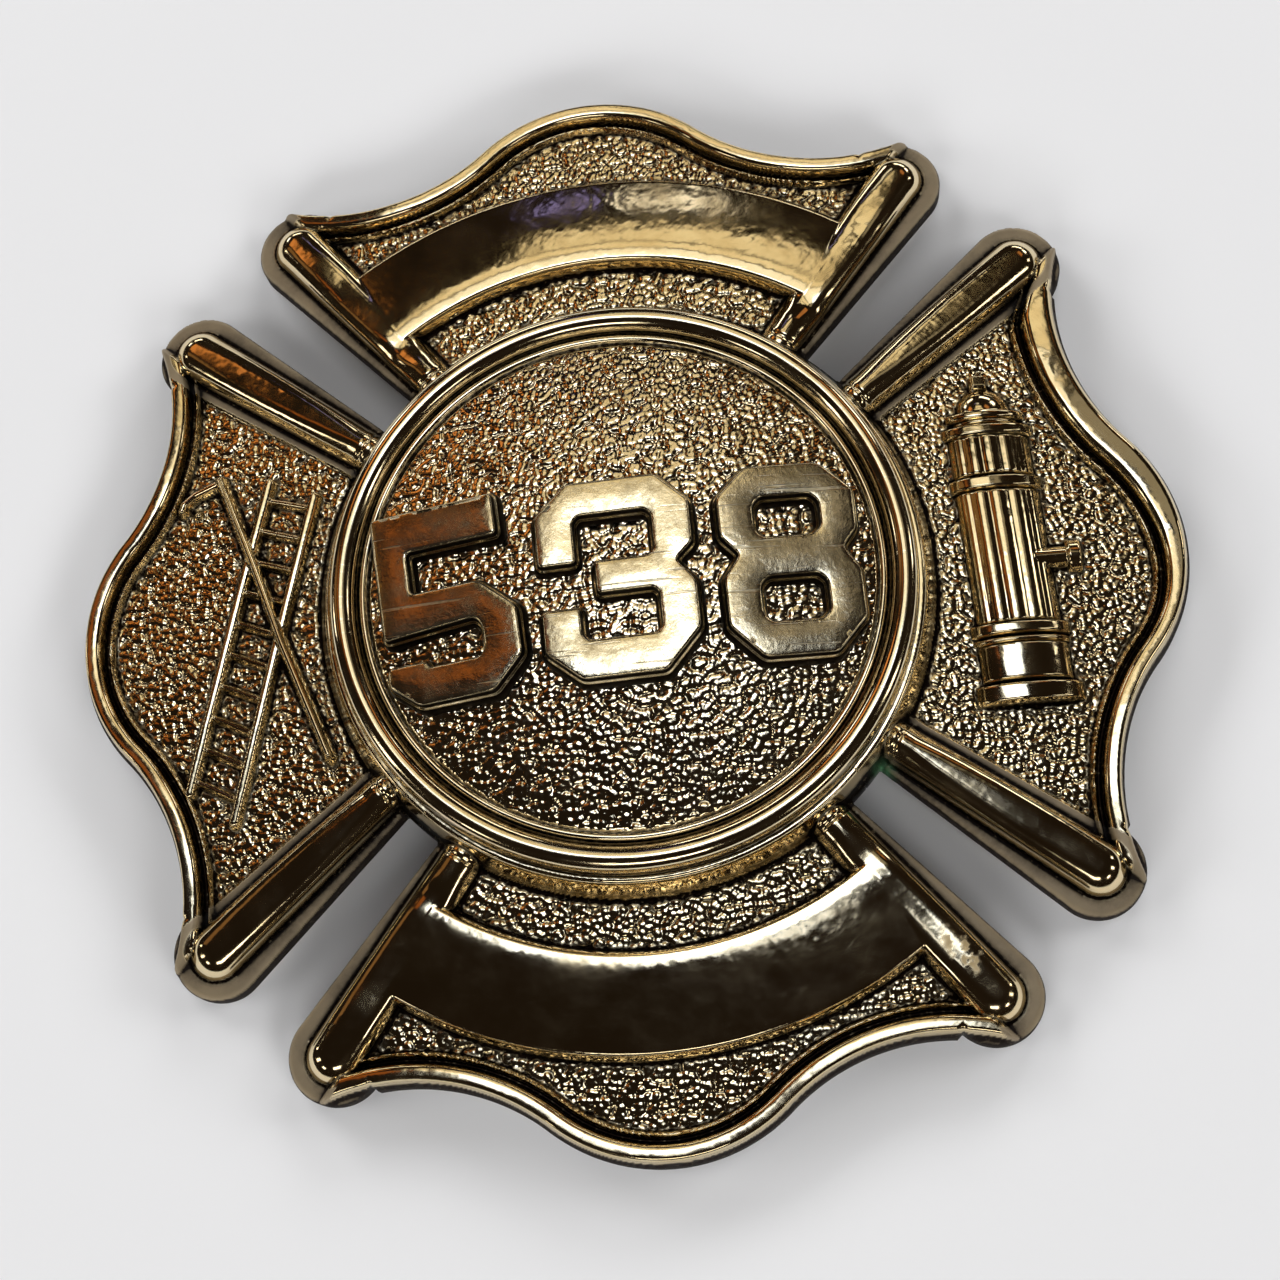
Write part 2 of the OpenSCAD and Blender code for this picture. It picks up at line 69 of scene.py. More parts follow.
# Sizes of the relief, in millimetres. They follow the photo, and some differ a little from the solids'
BEAD_AT, BEAD_W, BEAD_H = 0.16, 1.1, 0.85  # outer bead: inset from the lobe's edge, width, height
GROOVE_W, GROOVE_D = 0.32, 0.22  # width and depth of the groove between the two beads
BEAD2_W, BEAD2_H = 0.20, 0.34  # inner bead: width, height
BEAD_SPREAD, LOG_SPREAD = 0.03, 0.05  # how much wider beads and logs are at their sunk roots
BROAD_RIM = 0.95  # how much broader the right lobe's rim grows
LOG_ROOT_R, LOG_TIP_R = 1.2, 1.52  # radius of a log at its root and at its tip
BANNER_IN_H, BANNER_OUT_H = 0.94, 0.70  # height of a banner's inner and outer edge above the flange
STRIP_ANGLE = 33.6  # from a banner lobe's middle to the flat strip beside its field, in degrees
FIELD_ANGLE = 33.4  # from there to the side of the field
WALL_W, WALL_H = 0.95, 0.95  # wall between strip and field: width, height above its root
RELIEF_ROOT = 0.45  # how far below the flange beads, logs and banners start
FIGURE_ROOT = 0.5  # the same for ladder, pole and hydrant
EDGE_R, EDGE_DROP = 0.35, 0.3  # width and fall of the outer edge's rounding
HUB_CLEAR = HUB_FOOT + 0.1  # radius from which a lobe is clear of the hub's foot
GRAIN, GRAIN_PITCH, GRAIN_MEAN = 0.088, 0.43, 0.7  # stipple: depth, pitch, level that lies on the field

TOP, LEFT, BOTTOM, RIGHT = range(4)
# Bulge and unevenness of each banner and the fall at its inner edge. The logs beside it are lower by
# log_less, and come down to the banner's level over log_run
BANNERS = {TOP: SimpleNamespace(bulge=0.12, wave=0.012, lip=0.17, log_less=0.1, log_run=7.0),
           BOTTOM: SimpleNamespace(bulge=0.04, wave=0.003, lip=0.12, log_less=0.2, log_run=6.5)}

# Values worked out from these, for a lobe that points to +Y. Its two halves mirror each other, and the
# points and directions are those of the left half
S = math.sqrt(0.5)
RIM_IN = BEAD_AT + BEAD_W + GROOVE_W + BEAD2_W
CROWN_Y = APEX_R - CROWN_R
DIP_RISE = DIP_Y - CROWN_Y
HOLLOW_R = (DIP_RISE ** 2 + DIP_X ** 2 - CROWN_R ** 2) / (2 * (CROWN_R - DIP_RISE))
HOLLOW_C = np.array([-DIP_X, DIP_Y + HOLLOW_R])
TOUCH = math.atan2(HOLLOW_C[1] - CROWN_Y, HOLLOW_C[0])
ALONG = np.array([-S, S])
SIDE = np.array([S, S])
SLOT_ANG = math.atan2(SLOT_OUT - SLOT_IN, TIP_ALONG - ROOT_ALONG)
SLOT_N = np.array([math.cos(math.pi / 4 - SLOT_ANG), math.sin(math.pi / 4 - SLOT_ANG)])
SLOT_DIR = np.array([-SLOT_N[1], SLOT_N[0]])
TIP_C = TIP_ALONG * ALONG + (SLOT_OUT + TIP_R / math.cos(SLOT_ANG)) * SIDE
ROOT_C = ROOT_ALONG * ALONG + ROOT_SIDE * SIDE
ARM_L = float(np.hypot(*(TIP_C - ROOT_C)))
ARM_DIR = (TIP_C - ROOT_C) / ARM_L
ARM_N = np.array([ARM_DIR[1], -ARM_DIR[0]])
SLOPE = DISH_RISE / (APEX_R - HUB_FOOT)
BALL_R = (DOME_R ** 2 + DOME_RISE ** 2) / (2 * DOME_RISE)
BALL_Z = HUB_Z + DOME_EDGE + DOME_RISE - BALL_R


# Small maths
def unit(t):
    return np.clip(t, 0.0, 1.0)


def ease(t):
    """Smooth step from 0 to 1."""
    t = unit(t)
    return t * t * (3 - 2 * t)


def rise(f, w):
    """0 outside, a steep foot at f = 0 and a rounded shoulder that is level from f = w."""
    return np.sin(0.5 * math.pi * unit(f / w))


def bell(d, w):
    return np.exp(-(d / w) ** 2)


def barrel(d, w, power):
    """Round section of half width w. A power above 2 gives it a flatter crest and steeper flanks."""
    return np.sqrt(np.clip(1 - np.abs(d / w) ** power, 0.0, 1.0))


def half_round(d, w):
    return barrel(d, w, 2)


def bead(e, w):
    """Section of the rim from its outer edge: a steep outer side, then a slightly falling and convex top."""
    crest = 0.28
    v = np.clip((e / w - crest) / (1 - crest), -1, 1)
    outer = barrel(np.minimum(v, 0) * (1 - crest), crest, 2.4)
    inner = np.clip(1 - 0.045 * v - 0.075 * v ** 2 - 0.88 * v ** 9, 0, 1)
    return np.where(e < 0, 0.0, np.where(v < 0, outer, inner))


def smax(a, b, k):
    """The greater of two heights, with a fillet of about the size k where they meet."""
    t = unit(0.5 + 0.5 * (a - b) / k)
    return b + (a - b) * t + k * t * (1 - t)


def hash2(i, j, seed):
    """Steady random numbers in 0..1 for whole-number cells. The factors are large odd numbers."""
    i = (i.astype(np.int64) * 374761393 + j.astype(np.int64) * 668265263 + seed * 974711) & 0x7FFFFFFF
    i = ((i ^ (i >> 13)) * 1274126177) & 0x7FFFFFFF
    i = ((i ^ (i >> 16)) * 374761) & 0x7FFFFFFF
    return (i % 100003) / 100003.0


def noise(x, y, size, seed):
    """Smooth value noise, -1..1."""
    u, v = x / size, y / size
    i, j = np.floor(u), np.floor(v)
    fu, fv = ease(u - i), ease(v - j)
    a, b = hash2(i, j, seed), hash2(i + 1, j, seed)
    c, d = hash2(i, j + 1, seed), hash2(i + 1, j + 1, seed)
    return 2 * ((a * (1 - fu) + b * fu) * (1 - fv) + (c * (1 - fu) + d * fu) * fv) - 1


def clouds(x, y, size, seed, octaves=4):
    """Layers of noise, each half as large as the one before and weaker."""
    total = 0
    gain = 1.0
    for k in range(octaves):
        total = total + gain * noise(x + 17 * k, y - 9 * k, size / 2 ** k, seed + k)
        gain *= 0.55
    return total / 1.9


def pebbles(x, y, pitch, seed):
    """Struck stipple: a low rounded grain in each cell of a jittered lattice, creased where two meet."""
    bend = 0.2 * pitch
    jitter = 0.8
    x = x + bend * noise(x, y, pitch * 1.4, seed + 31)
    y = y + bend * noise(x, y, pitch * 1.4, seed + 37)
    u, v = x / pitch, y / (pitch * 0.9)
    i0, j0 = np.floor(u), np.floor(v)
    near = np.full(np.shape(x), 9.0)
    lean = np.zeros(np.shape(x))
    for dj in (-1, 0, 1):
        for di in (-1, 0, 1):
            i, j = i0 + di, j0 + dj
            px = i + 0.5 + jitter * (hash2(i, j, seed) - 0.5)
            py = j + 0.5 + jitter * (hash2(i, j, seed + 7) - 0.5)
            d = np.hypot(u - px, v - py)
            closer = d < near
            turn = 6.283 * hash2(i, j, seed + 17)
            lean = np.where(closer, (u - px) * np.cos(turn) + (v - py) * np.sin(turn), lean)
            near = np.where(closer, d, near)
    return 1 - 2.9 * np.minimum(near, 0.75) ** 3 + 0.3 * lean


# Mesh helpers
def make_mesh(name, verts, faces, attrs, sharp=80):
    """A smooth mesh object from points in millimetres. Edges bent by more than sharp degrees stay sharp."""
    me = bpy.data.meshes.new(name)
    sizes = np.array([len(f) for f in faces], dtype=np.int32)
    corners = np.fromiter(chain.from_iterable(faces), dtype=np.int32)
    me.vertices.add(len(verts))
    me.vertices.foreach_set("co", (verts * MM).astype(np.float32).reshape(-1))
    me.loops.add(len(corners))
    me.loops.foreach_set("vertex_index", corners)
    me.polygons.add(len(sizes))
    starts = np.concatenate([[0], np.cumsum(sizes)[:-1]]).astype(np.int32)
    me.polygons.foreach_set("loop_start", starts)
    me.update(calc_edges=True)
    me.validate()
    me.shade_smooth()
    me.set_sharp_from_angle(angle=math.radians(sharp))
    for key, values in attrs.items():
        layer = me.attributes.new(key, "FLOAT", "POINT")
        layer.data.foreach_set("value", np.asarray(values, dtype=np.float32))
    ob = bpy.data.objects.new(name, me)
    scene.collection.objects.link(ob)
    return ob


def blur(z, ok, n, passes=2):
    """Mean of the valid values within n cells, by repeated box blurs."""
    val, wt = np.where(ok, z, 0.0), ok.astype(float)
    for _ in range(passes):
        for axis in (0, 1):
            out = []
            for arr in (val, wt):
                pad = [(0, 0), (0, 0)]
                pad[axis] = (n + 1, n)
                c = np.cumsum(np.pad(arr, pad, mode="edge"), axis=axis)
                hi = np.take(c, range(2 * n + 1, c.shape[axis]), axis=axis)
                lo = np.take(c, range(0, c.shape[axis] - 2 * n - 1), axis=axis)
                out.append((hi - lo) / (2 * n + 1))
            val, wt = out
    return np.where(wt > 1e-6, val / np.maximum(wt, 1e-6), z)


def cavity_of(z, ok, h):
    """How far each point lies in a fine crease or below its wider surroundings, from 0 up."""
    # The metal darkens by this in creases and hollows: dirt there, and painted shade
    low = blur(z, ok, max(1, int(0.22 / h)))
    wide = blur(z, ok, max(2, int(0.9 / h)))
    return unit((low - z) / 0.09) * 0.6 + unit((wide - z) / 0.45) * 0.6


def snapped(inside, x, y, h):
    """The grid with the points that are nearest to the outline moved onto it."""
    probe = 0.01
    for _ in range(2):
        f = inside(x, y)
        fx = (inside(x + probe, y) - inside(x - probe, y)) / (2 * probe)
        fy = (inside(x, y + probe) - inside(x, y - probe)) / (2 * probe)
        g = np.maximum(fx ** 2 + fy ** 2, 0.2)
        near = np.abs(f) < 0.5 * h
        x, y = x - np.where(near, f * fx / g, 0), y - np.where(near, f * fy / g, 0)
    return x, y


def grid_triangles(ok):
    """Two triangles in each cell with four valid corners, and one in each cell with three."""
    ids = np.arange(ok.size).reshape(ok.shape)
    a, b, c, d = ok[:-1, :-1], ok[:-1, 1:], ok[1:, 1:], ok[1:, :-1]
    ia, ib, ic, ie = ids[:-1, :-1], ids[:-1, 1:], ids[1:, 1:], ids[1:, :-1]
    cases = [(a & b & c & d, (ia, ib, ic)), (a & b & c & d, (ia, ic, ie)),
             (~a & b & c & d, (ib, ic, ie)), (a & ~b & c & d, (ia, ic, ie)),
             (a & b & ~c & d, (ia, ib, ie)), (a & b & c & ~d, (ia, ib, ic))]
    return np.concatenate([np.stack([k[cell] for k in corners], 1) for cell, corners in cases])


def areas(points, tris):
    """Area of each triangle, below zero where it turns right."""
    p, q, r = (points[tris[:, k]] for k in range(3))
    return ((q - p)[:, 0] * (r - p)[:, 1] - (q - p)[:, 1] * (r - p)[:, 0]) / 2


def rim_edges(tris, count):
    """The edges that only one triangle has, in that triangle's direction."""
    e = np.concatenate([tris[:, [0, 1]], tris[:, [1, 2]], tris[:, [2, 0]]])
    key = e[:, 0] * np.int64(count) + e[:, 1]
    back = e[:, 1] * np.int64(count) + e[:, 0]
    return e[~np.isin(key, back)]


def coarse_fill(inside, ring, rim, box):
    """Points and downward triangles of a coarse mesh inside the outline that ring and rim give."""
    step = 1.2
    x0, x1, y0, y1 = box
    gx, gy = np.meshgrid(np.arange(x0, x1, step), np.arange(y0, y1, step))
    keep = inside(gx, gy) > 0.4 * step
    pts = np.concatenate([ring, np.stack([gx[keep], gy[keep]], 1)])
    edges = [tuple(int(i) for i in q) for q in rim]
    made = delaunay_2d_cdt([Vector(q) for q in pts], edges, [], 0, 1e-7)
    points = np.array([tuple(v) for v in made[0]])
    tris = np.array([f for f in made[2] if len(f) == 3])
    mid = points[tris].mean(1)
    tris = tris[inside(mid[:, 0], mid[:, 1]) > 0]
    up = areas(points, tris) > 0
    tris[up] = tris[up][:, ::-1]
    return points, tris


def relief_piece(name, inside, height, under, box, h, turn=0.0):
    """A closed solid: a fine height field cut to inside(x, y) >= 0, walls, and a coarse underside."""
    x0, x1, y0, y1 = box
    xs = np.arange(math.floor(x0 / h), math.ceil(x1 / h) + 1) * h
    ys = np.arange(math.floor(y0 / h), math.ceil(y1 / h) + 1) * h
    x, y = snapped(inside, *np.meshgrid(xs, ys), h)
    ok = inside(x, y) > -0.02 * h
    z, marks = height(x, y)
    marks["cavity"] = cavity_of(z, ok, h)
    flat = np.stack([x.reshape(-1), y.reshape(-1)], 1)
    tris = grid_triangles(ok)
    tris = tris[areas(flat, tris) > 0.02 * h * h]
    rim = rim_edges(tris, x.size)
    # from here on the points are numbered without those that no triangle uses
    used = np.unique(tris)
    index = np.full(x.size, -1)
    index[used] = np.arange(len(used))
    tris, rim = index[tris], index[rim]
    top = np.column_stack([flat[used], z.reshape(-1)[used]])
    ring = np.unique(rim)
    local = np.full(len(used), -1)
    local[ring] = np.arange(len(ring))
    foot = len(used) + local[rim]
    walls = np.concatenate([np.stack([rim[:, 1], rim[:, 0], foot[:, 0]], 1),
                            np.stack([rim[:, 1], foot[:, 0], foot[:, 1]], 1)])
    ring_xy = top[ring, :2]
    fill, fill_tris = coarse_fill(inside, ring_xy, local[rim], box)
    verts = np.concatenate([top, np.column_stack([ring_xy, under(ring_xy[:, 0], ring_xy[:, 1])]),
                            np.column_stack([fill, under(fill[:, 0], fill[:, 1])])])
    faces = np.concatenate([tris, walls, fill_tris + len(used) + len(ring)])
    attrs = {}
    for key, values in marks.items():
        v = np.broadcast_to(values, x.shape).reshape(-1)[used]
        attrs[key] = np.concatenate([v, v[ring], np.full(len(fill), 0.3)])
    c, s = math.cos(turn), math.sin(turn)
    verts = np.stack([verts[:, 0] * c - verts[:, 1] * s, verts[:, 0] * s + verts[:, 1] * c, verts[:, 2]], 1)
    return make_mesh(name, verts, faces, attrs)


# Outline of a lobe
def flange_z(r):
    return PLATE_T + (APEX_R - r) * SLOPE


def edge_inset(x, y):
    """Distance inwards from a lobe's curved edge."""
    xl = -np.abs(x)
    ang = np.arctan2(y - CROWN_Y, xl)
    crown = (ang > 0) & (ang < TOUCH)
    return np.where(crown, CROWN_R - np.hypot(xl, y - CROWN_Y),
                    np.hypot(xl - HOLLOW_C[0], y - HOLLOW_C[1]) - HOLLOW_R)


def arm_frame(x, y):
    """Distance along the left arm's axis from its root, and off it towards the field."""
    xl = -np.abs(x)
    return ((xl - ROOT_C[0]) * ARM_DIR[0] + (y - ROOT_C[1]) * ARM_DIR[1],
            (xl - ROOT_C[0]) * ARM_N[0] + (y - ROOT_C[1]) * ARM_N[1])


def outline(x, y):
    """Distance inwards from the lobe's whole outline, hub included."""
    xl = -np.abs(x)
    dx, dy = xl - TIP_C[0], y - TIP_C[1]
    slot = dx * SLOT_N[0] + dy * SLOT_N[1] + TIP_R
    beyond = dx * SLOT_DIR[0] + dy * SLOT_DIR[1]
    core = np.minimum(np.minimum(edge_inset(x, y), slot), -beyond)
    return np.maximum(np.maximum(core, TIP_R - np.hypot(dx, dy)), HUB_FOOT - np.hypot(x, y))


def lobe_inside(x, y):
    """The outline cut to the lobe's quarter of the badge, and open under the disc."""
    hub_hole = 15.3
    return np.minimum(np.minimum(outline(x, y), (y - np.abs(x)) * S), np.hypot(x, y) - hub_hole)


def lobe_under(x, y):
    """Underside: flat at the rim, then rising with the dish, and steep under the hub's wall."""
    r = np.hypot(x, y)
    back_r = HUB_FOOT - 0.55
    back_z = flange_z(HUB_FOOT) - PLATE_T
    slope = back_z * (1 - unit((r - back_r) / (APEX_R - REST_W - back_r)))
    wall = back_z + (HUB_Z - HUB_T - back_z) * unit((back_r - r) / (back_r - HUB_R + HUB_T))
    return np.where(r > APEX_R - REST_W, 0.0, np.where(r > back_r, slope, wall))


# Ladder and pike pole on the left lobe, in the badge's own coordinates, widths as half widths
RAILS = (((-19.75, 8.85), (-24.95, -8.75)), ((-17.15, 7.65), (-22.45, -10.65)))
RAIL_W = 0.40
RAIL_FACE_W = 0.36
RUNGS = 10
RUNG_W, RUNG_H = 0.27, 0.82
POLE = ((-22.65, 9.35), (-20.9, 4.2), (-19.3, -0.9), (-16.9, -7.6))
POLE_W, POLE_H = 0.40, 1.3
HOOK = ((-22.65, 9.35), (-23.1, 9.15), (-24.2, 8.75), (-24.85, 8.25), (-25.0, 7.85))
HOOK_W, HOOK_H = 0.36, 1.05
BARB = (-24.1, 7.6)
BARB_W, BARB_H = 0.34, 0.72


def segment(x, y, p, q):
    """Distance from the segment p-q, and the share of its length reached."""
    dx, dy = q[0] - p[0], q[1] - p[1]
    t = unit(((x - p[0]) * dx + (y - p[1]) * dy) / (dx * dx + dy * dy))
    return np.hypot(x - p[0] - t * dx, y - p[1] - t * dy), t


def rod(x, y, points, w, h):
    """Height of a round rod along a line of points."""
    out = np.zeros_like(x)
    for p, q in zip(points, points[1:]):
        d, _ = segment(x, y, p, q)
        out = np.maximum(out, h * half_round(d, w))
    return out


def ladder_rail(x, y, rail):
    """Height of one rail: its face leans a little to one side and its edge is slightly wavy."""
    (px, py), (qx, qy) = rail
    d, t = segment(x, y, *rail)
    side = d * np.sign((x - px) * (py - qy) + (y - py) * (qx - px))
    face = 1.0 - 0.065 * side / RAIL_FACE_W - 0.10 * (d / RAIL_FACE_W) ** 2
    return face * rise(RAIL_W + 0.015 * np.sin(31 * t) - d, 0.2)


def ladder_relief(x, y):
    """Height over the left field of the ladder and the pike pole."""
    left, right = RAILS
    out = np.maximum(ladder_rail(x, y, left), ladder_rail(x, y, right))
    for i in range(RUNGS):
        t = (i + 0.55) / RUNGS
        p = [left[0][k] + (left[1][k] - left[0][k]) * t for k in (0, 1)]
        q = [right[0][k] + (right[1][k] - right[0][k]) * (t - 0.02) for k in (0, 1)]
        out = np.maximum(out, rod(x, y, (p, q), RUNG_W, RUNG_H))
    out = np.maximum(out, rod(x, y, POLE, POLE_W, POLE_H))
    out = np.maximum(out, rod(x, y, HOOK, HOOK_W, HOOK_H))
    return np.maximum(out, BARB_H * half_round(np.hypot(x - BARB[0], y - BARB[1]), BARB_W))


# Hydrant on the right lobe, in the badge's own coordinates
HYDRANT_X = 21.1
HYDRANT_LEAN = 0.035  # sideways for each millimetre of height
HYDRANT_H = 1.32  # height of its barrel above the figure's root
HYDRANT_FOLD = 0.08  # how far each ring reaches beyond the heights given for it
NOZZLE_Y = -0.3
# Its rings from the foot up: height from, height to, half width, and whether the ring is ribbed
HYDRANT = [(-8.39, -7.36, 2.92, False), (-7.16, -5.15, 2.48, False), (-5.1, -4.79, 2.62, False),
           (-4.63, -3.96, 2.71, False), (-3.91, 3.71, 2.32, True), (3.81, 4.53, 2.52, False),
           (4.64, 6.95, 2.26, True), (7.01, 7.62, 2.52, False), (7.68, 7.93, 1.84, False),
           (7.98, 8.45, 2.21, False)]


def hydrant_ring(u, y, low, high, w, ribbed):
    """Height of one ring of the hydrant, u being the distance from its axis."""
    across = half_round(u, w) ** 0.8
    top = 1.0 if ribbed else 1.0 + 0.12 * (w - 2.25)
    if ribbed:
        ang = np.arcsin(np.clip(u / w, -1, 1))
        across = across * (0.90 + 0.10 * np.abs(np.cos(ang * 6.5)) ** 0.8)
    length = rise(np.minimum(y - low, high - y) + HYDRANT_FOLD, 2 * HYDRANT_FOLD)
    return HYDRANT_H * top * across * length


def hydrant_relief(x, y):
    """Height over the right field of the hydrant."""
    u = x - (HYDRANT_X + (0.3 - y) * HYDRANT_LEAN)
    out = np.zeros_like(x)
    for ring in HYDRANT:
        out = np.maximum(out, hydrant_ring(u, y, *ring))
    dome = np.sqrt(np.clip(1 - (u / 1.55) ** 2 - ((y - 8.4) / 1.7) ** 2, 0, 1)) * (y > 8.3)
    nut = rise(np.minimum(0.5 - np.abs(u + 0.05), 0.45 - np.abs(y - 10.3)), 0.15)
    arm = half_round(y - NOZZLE_Y, 0.68) * rise(24.4 - x, 0.15) * (u > 0)
    cap = half_round(y - NOZZLE_Y, 0.95) ** 0.7 * rise(np.minimum(x - 24.25, 25.15 - x), 0.14)
    for h, shape in ((1.22, dome), (1.0, nut), (1.05, arm), (1.15, cap)):
        out = np.maximum(out, h * shape)
    return out


# Two small stains, in the badge's own coordinates: a green spot by the hub and a rough patch on one arm
GREEN_AT = (13.0, -11.5)
GREEN_SIZE = (0.45, 0.55)
RUST_AT = (16.1, -21.4)
RUST_SIZE = (1.5, 0.7)
RUST_COS, RUST_SIN = 0.6, 0.8


def stains(x, y):
    rough = 0.5 + 0.5 * clouds(x, y, size=0.45, seed=95, octaves=3)
    gx, gy = (x - GREEN_AT[0]) / GREEN_SIZE[0], (y - GREEN_AT[1]) / GREEN_SIZE[1]
    green = np.exp(-(gx ** 2 + gy ** 2)) * unit(rough * 2.2 - 0.3)
    dx, dy = x - RUST_AT[0], y - RUST_AT[1]
    u = dx * RUST_COS - dy * RUST_SIN
    v = dx * RUST_SIN + dy * RUST_COS
    rust = unit(1.4 - (u / RUST_SIZE[0]) ** 2 - (v / RUST_SIZE[1]) ** 2) * unit(rough * 9 - 4.2)
    return unit(green * 1.3), rust


# Relief of a lobe. p holds the measures of all its points
def uneven(p, size, seed, octaves=4):
    return clouds(p.wx, p.wy, size, seed, octaves)


def past(p, angle):
    """Distance along the arc beyond the line at that angle from the lobe's middle."""
    return (p.phi - angle) * math.pi / 180 * p.r


def broad_rim(p):
    """How much wider the rim is than on the other lobes: on the right lobe alone, growing upwards."""
    if p.turn != RIGHT:
        return 0.0
    return BROAD_RIM * ease((4.0 - p.x) / 9.0) * ease((p.off - 1.0) / 2.0)


def field_side(p):
    """Distance inwards from the side of the stippled field: a strip's line, or the foot of the log."""
    if p.banner:
        return np.where(p.phi < 40, -past(p, FIELD_ANGLE) - 0.1, -5)
    return p.off - p.log_r - 0.42 - 0.2 * p.reach


def banner_top(p):
    """Height of the banner above the flange."""
    banner = BANNERS[p.turn]
    u = unit((p.r - BANNER_IN) / (BANNER_OUT - BANNER_IN))
    top = BANNER_IN_H * (1 - u) + BANNER_OUT_H * u + banner.bulge * np.sin(math.pi * u)
    top = top + banner.wave * uneven(p, size=4.5, seed=61, octaves=2)
    return top - banner.lip * bell(p.r - BANNER_IN, 0.85)


def measures(x, y, turn):
    """Places and distances of points given in the lobe's own coordinates."""
    p = SimpleNamespace(x=x, y=y, turn=turn, banner=turn in BANNERS)
    cos_turn, sin_turn = ((1, 0), (0, 1), (-1, 0), (0, -1))[turn]
    p.wx = x * cos_turn - y * sin_turn
    p.wy = x * sin_turn + y * cos_turn
    p.r = np.hypot(x, y)
    p.phi = np.degrees(np.arctan2(np.abs(x), y))
    p.level = flange_z(p.r)
    p.edge = edge_inset(x, y)
    p.along, p.off = arm_frame(x, y)
    p.reach = unit(p.along / ARM_L)
    p.log_r = LOG_ROOT_R + (LOG_TIP_R - LOG_ROOT_R) * p.reach
    p.log_end = np.maximum(np.maximum(-0.9 - p.along, p.along - ARM_L - LOG_REACH + p.log_r - 0.95), 0)
    p.log_d = np.hypot(p.off, p.log_end)
    p.broad = broad_rim(p)
    p.rim_in = RIM_IN + p.broad
    p.side = field_side(p)
    p.field = np.minimum(np.minimum(p.edge - p.rim_in + 0.02, p.side), p.r - HUB_FOOT + 0.1)
    p.grain = pebbles(p.wx, p.wy, GRAIN_PITCH, 11 + turn)
    if p.banner:
        p.banner_top = banner_top(p)
    return p


def raised(z, p, h, shape, fillet=0.05):
    """The surface with a form of height h laid over it. shape is 0 at the form's outline, 1 at its crest."""
    return smax(z, p.level - RELIEF_ROOT + (h + RELIEF_ROOT) * shape, fillet)


def with_field(z, p):
    """The sunk and stippled field."""
    z = z - FIELD_DROP * ease(p.field / 0.25 + 0.2)
    return z + GRAIN * (p.grain - GRAIN_MEAN) * ease(p.field / 0.25)


def with_rim(z, p):
    """Two beads along the lobe's edge and the groove between them. They fade out at the arm's axis."""
    fade = ease((p.off - 0.3) / 0.8)
    wave = 1 + 0.03 * uneven(p, size=3.0, seed=8, octaves=2)
    width = BEAD_W + p.broad
    z = z - GROOVE_D * bell(p.edge - BEAD_AT - width - GROOVE_W / 2, GROOVE_W / 2) * fade
    outer = bead(p.edge - BEAD_AT + BEAD_SPREAD, width + 2 * BEAD_SPREAD)
    z = raised(z, p, BEAD_H, fade * outer * wave)
    inner = half_round(p.edge - (p.rim_in - BEAD2_W / 2), BEAD2_W / 2 + 2 * BEAD_SPREAD)
    return raised(z, p, BEAD2_H, fade * inner * (wave + 0.05 * p.grain))


def log_crest(p):
    """Height of the log above the flange. Beside a banner it falls to the banner's level, as its shoulder."""
    if not p.banner:
        return LOG_H
    banner = BANNERS[p.turn]
    peak = LOG_H - banner.log_less
    return peak + (p.banner_top - peak) * ease((BANNER_OUT + 2.4 - p.r) / banner.log_run)


def with_log(z, p):
    """The rounded log along the arm, with a fine groove at its foot."""
    z = z - 0.07 * bell(p.log_d - p.log_r - 0.1, 0.12) * (p.along > -0.5) * (p.log_end < 0.01)
    lump = 1 + 0.006 * uneven(p, size=2.4, seed=71 + p.turn, octaves=2)
    power = 2 + 1.8 * np.sin(math.pi * unit(p.along / (ARM_L + 1.5)))
    return raised(z, p, log_crest(p) * lump, barrel(p.log_d, p.log_r + LOG_SPREAD, power))


def with_banner(z, p):
    """The bare banner, the flat strips beside the field at the hub, and the sloping walls of the strips."""
    to_arm = p.off + 0.15
    beyond = past(p, STRIP_ANGLE)
    band = np.minimum(np.minimum(p.r - BANNER_IN, BANNER_OUT - p.r), to_arm)
    strip = np.minimum(np.minimum(beyond, to_arm), BANNER_IN + 0.6 - p.r)
    z = raised(z, p, p.banner_top, rise(np.maximum(band, strip), 0.5), fillet=0.04)
    wall = unit(1 + beyond / WALL_W) * (p.phi < STRIP_ANGLE + 0.1) * ease((BANNER_IN + 0.3 - p.r) / 0.4)
    return np.maximum(z, p.level - RELIEF_ROOT + WALL_H * wall ** 1.3 * (p.r > HUB_FOOT - 0.2))


def with_figure(z, p):
    """What stands on the lobe: a banner, the ladder with the pike pole, or the hydrant."""
    if p.banner:
        return with_banner(z, p)
    relief = ladder_relief if p.turn == LEFT else hydrant_relief
    return smax(z, p.level - FIGURE_ROOT + relief(p.wx, p.wy), 0.05)


def with_hub(z, p):
    """The hub's wall, with the small step at its foot."""
    fall = (HUB_Z - flange_z(HUB_FOOT)) * ease((p.r - HUB_R + 0.05) / (HUB_FOOT - HUB_R + 0.1))
    z = smax(z, HUB_Z - fall - 3 * ease((p.r - HUB_FOOT) / 0.3), 0.08)
    return z - 0.09 * bell(p.r - HUB_FOOT - 0.18, 0.12) * (p.r > HUB_FOOT)


def worn(z, p):
    """Fine unevenness, and the rounding of the outer edge."""
    z = z + 0.006 * uneven(p, size=0.5, seed=21)
    q = unit(1 - outline(p.x, p.y) / EDGE_R)
    return z - EDGE_DROP * (1 - half_round(q, 1)) * (p.r > HUB_CLEAR)


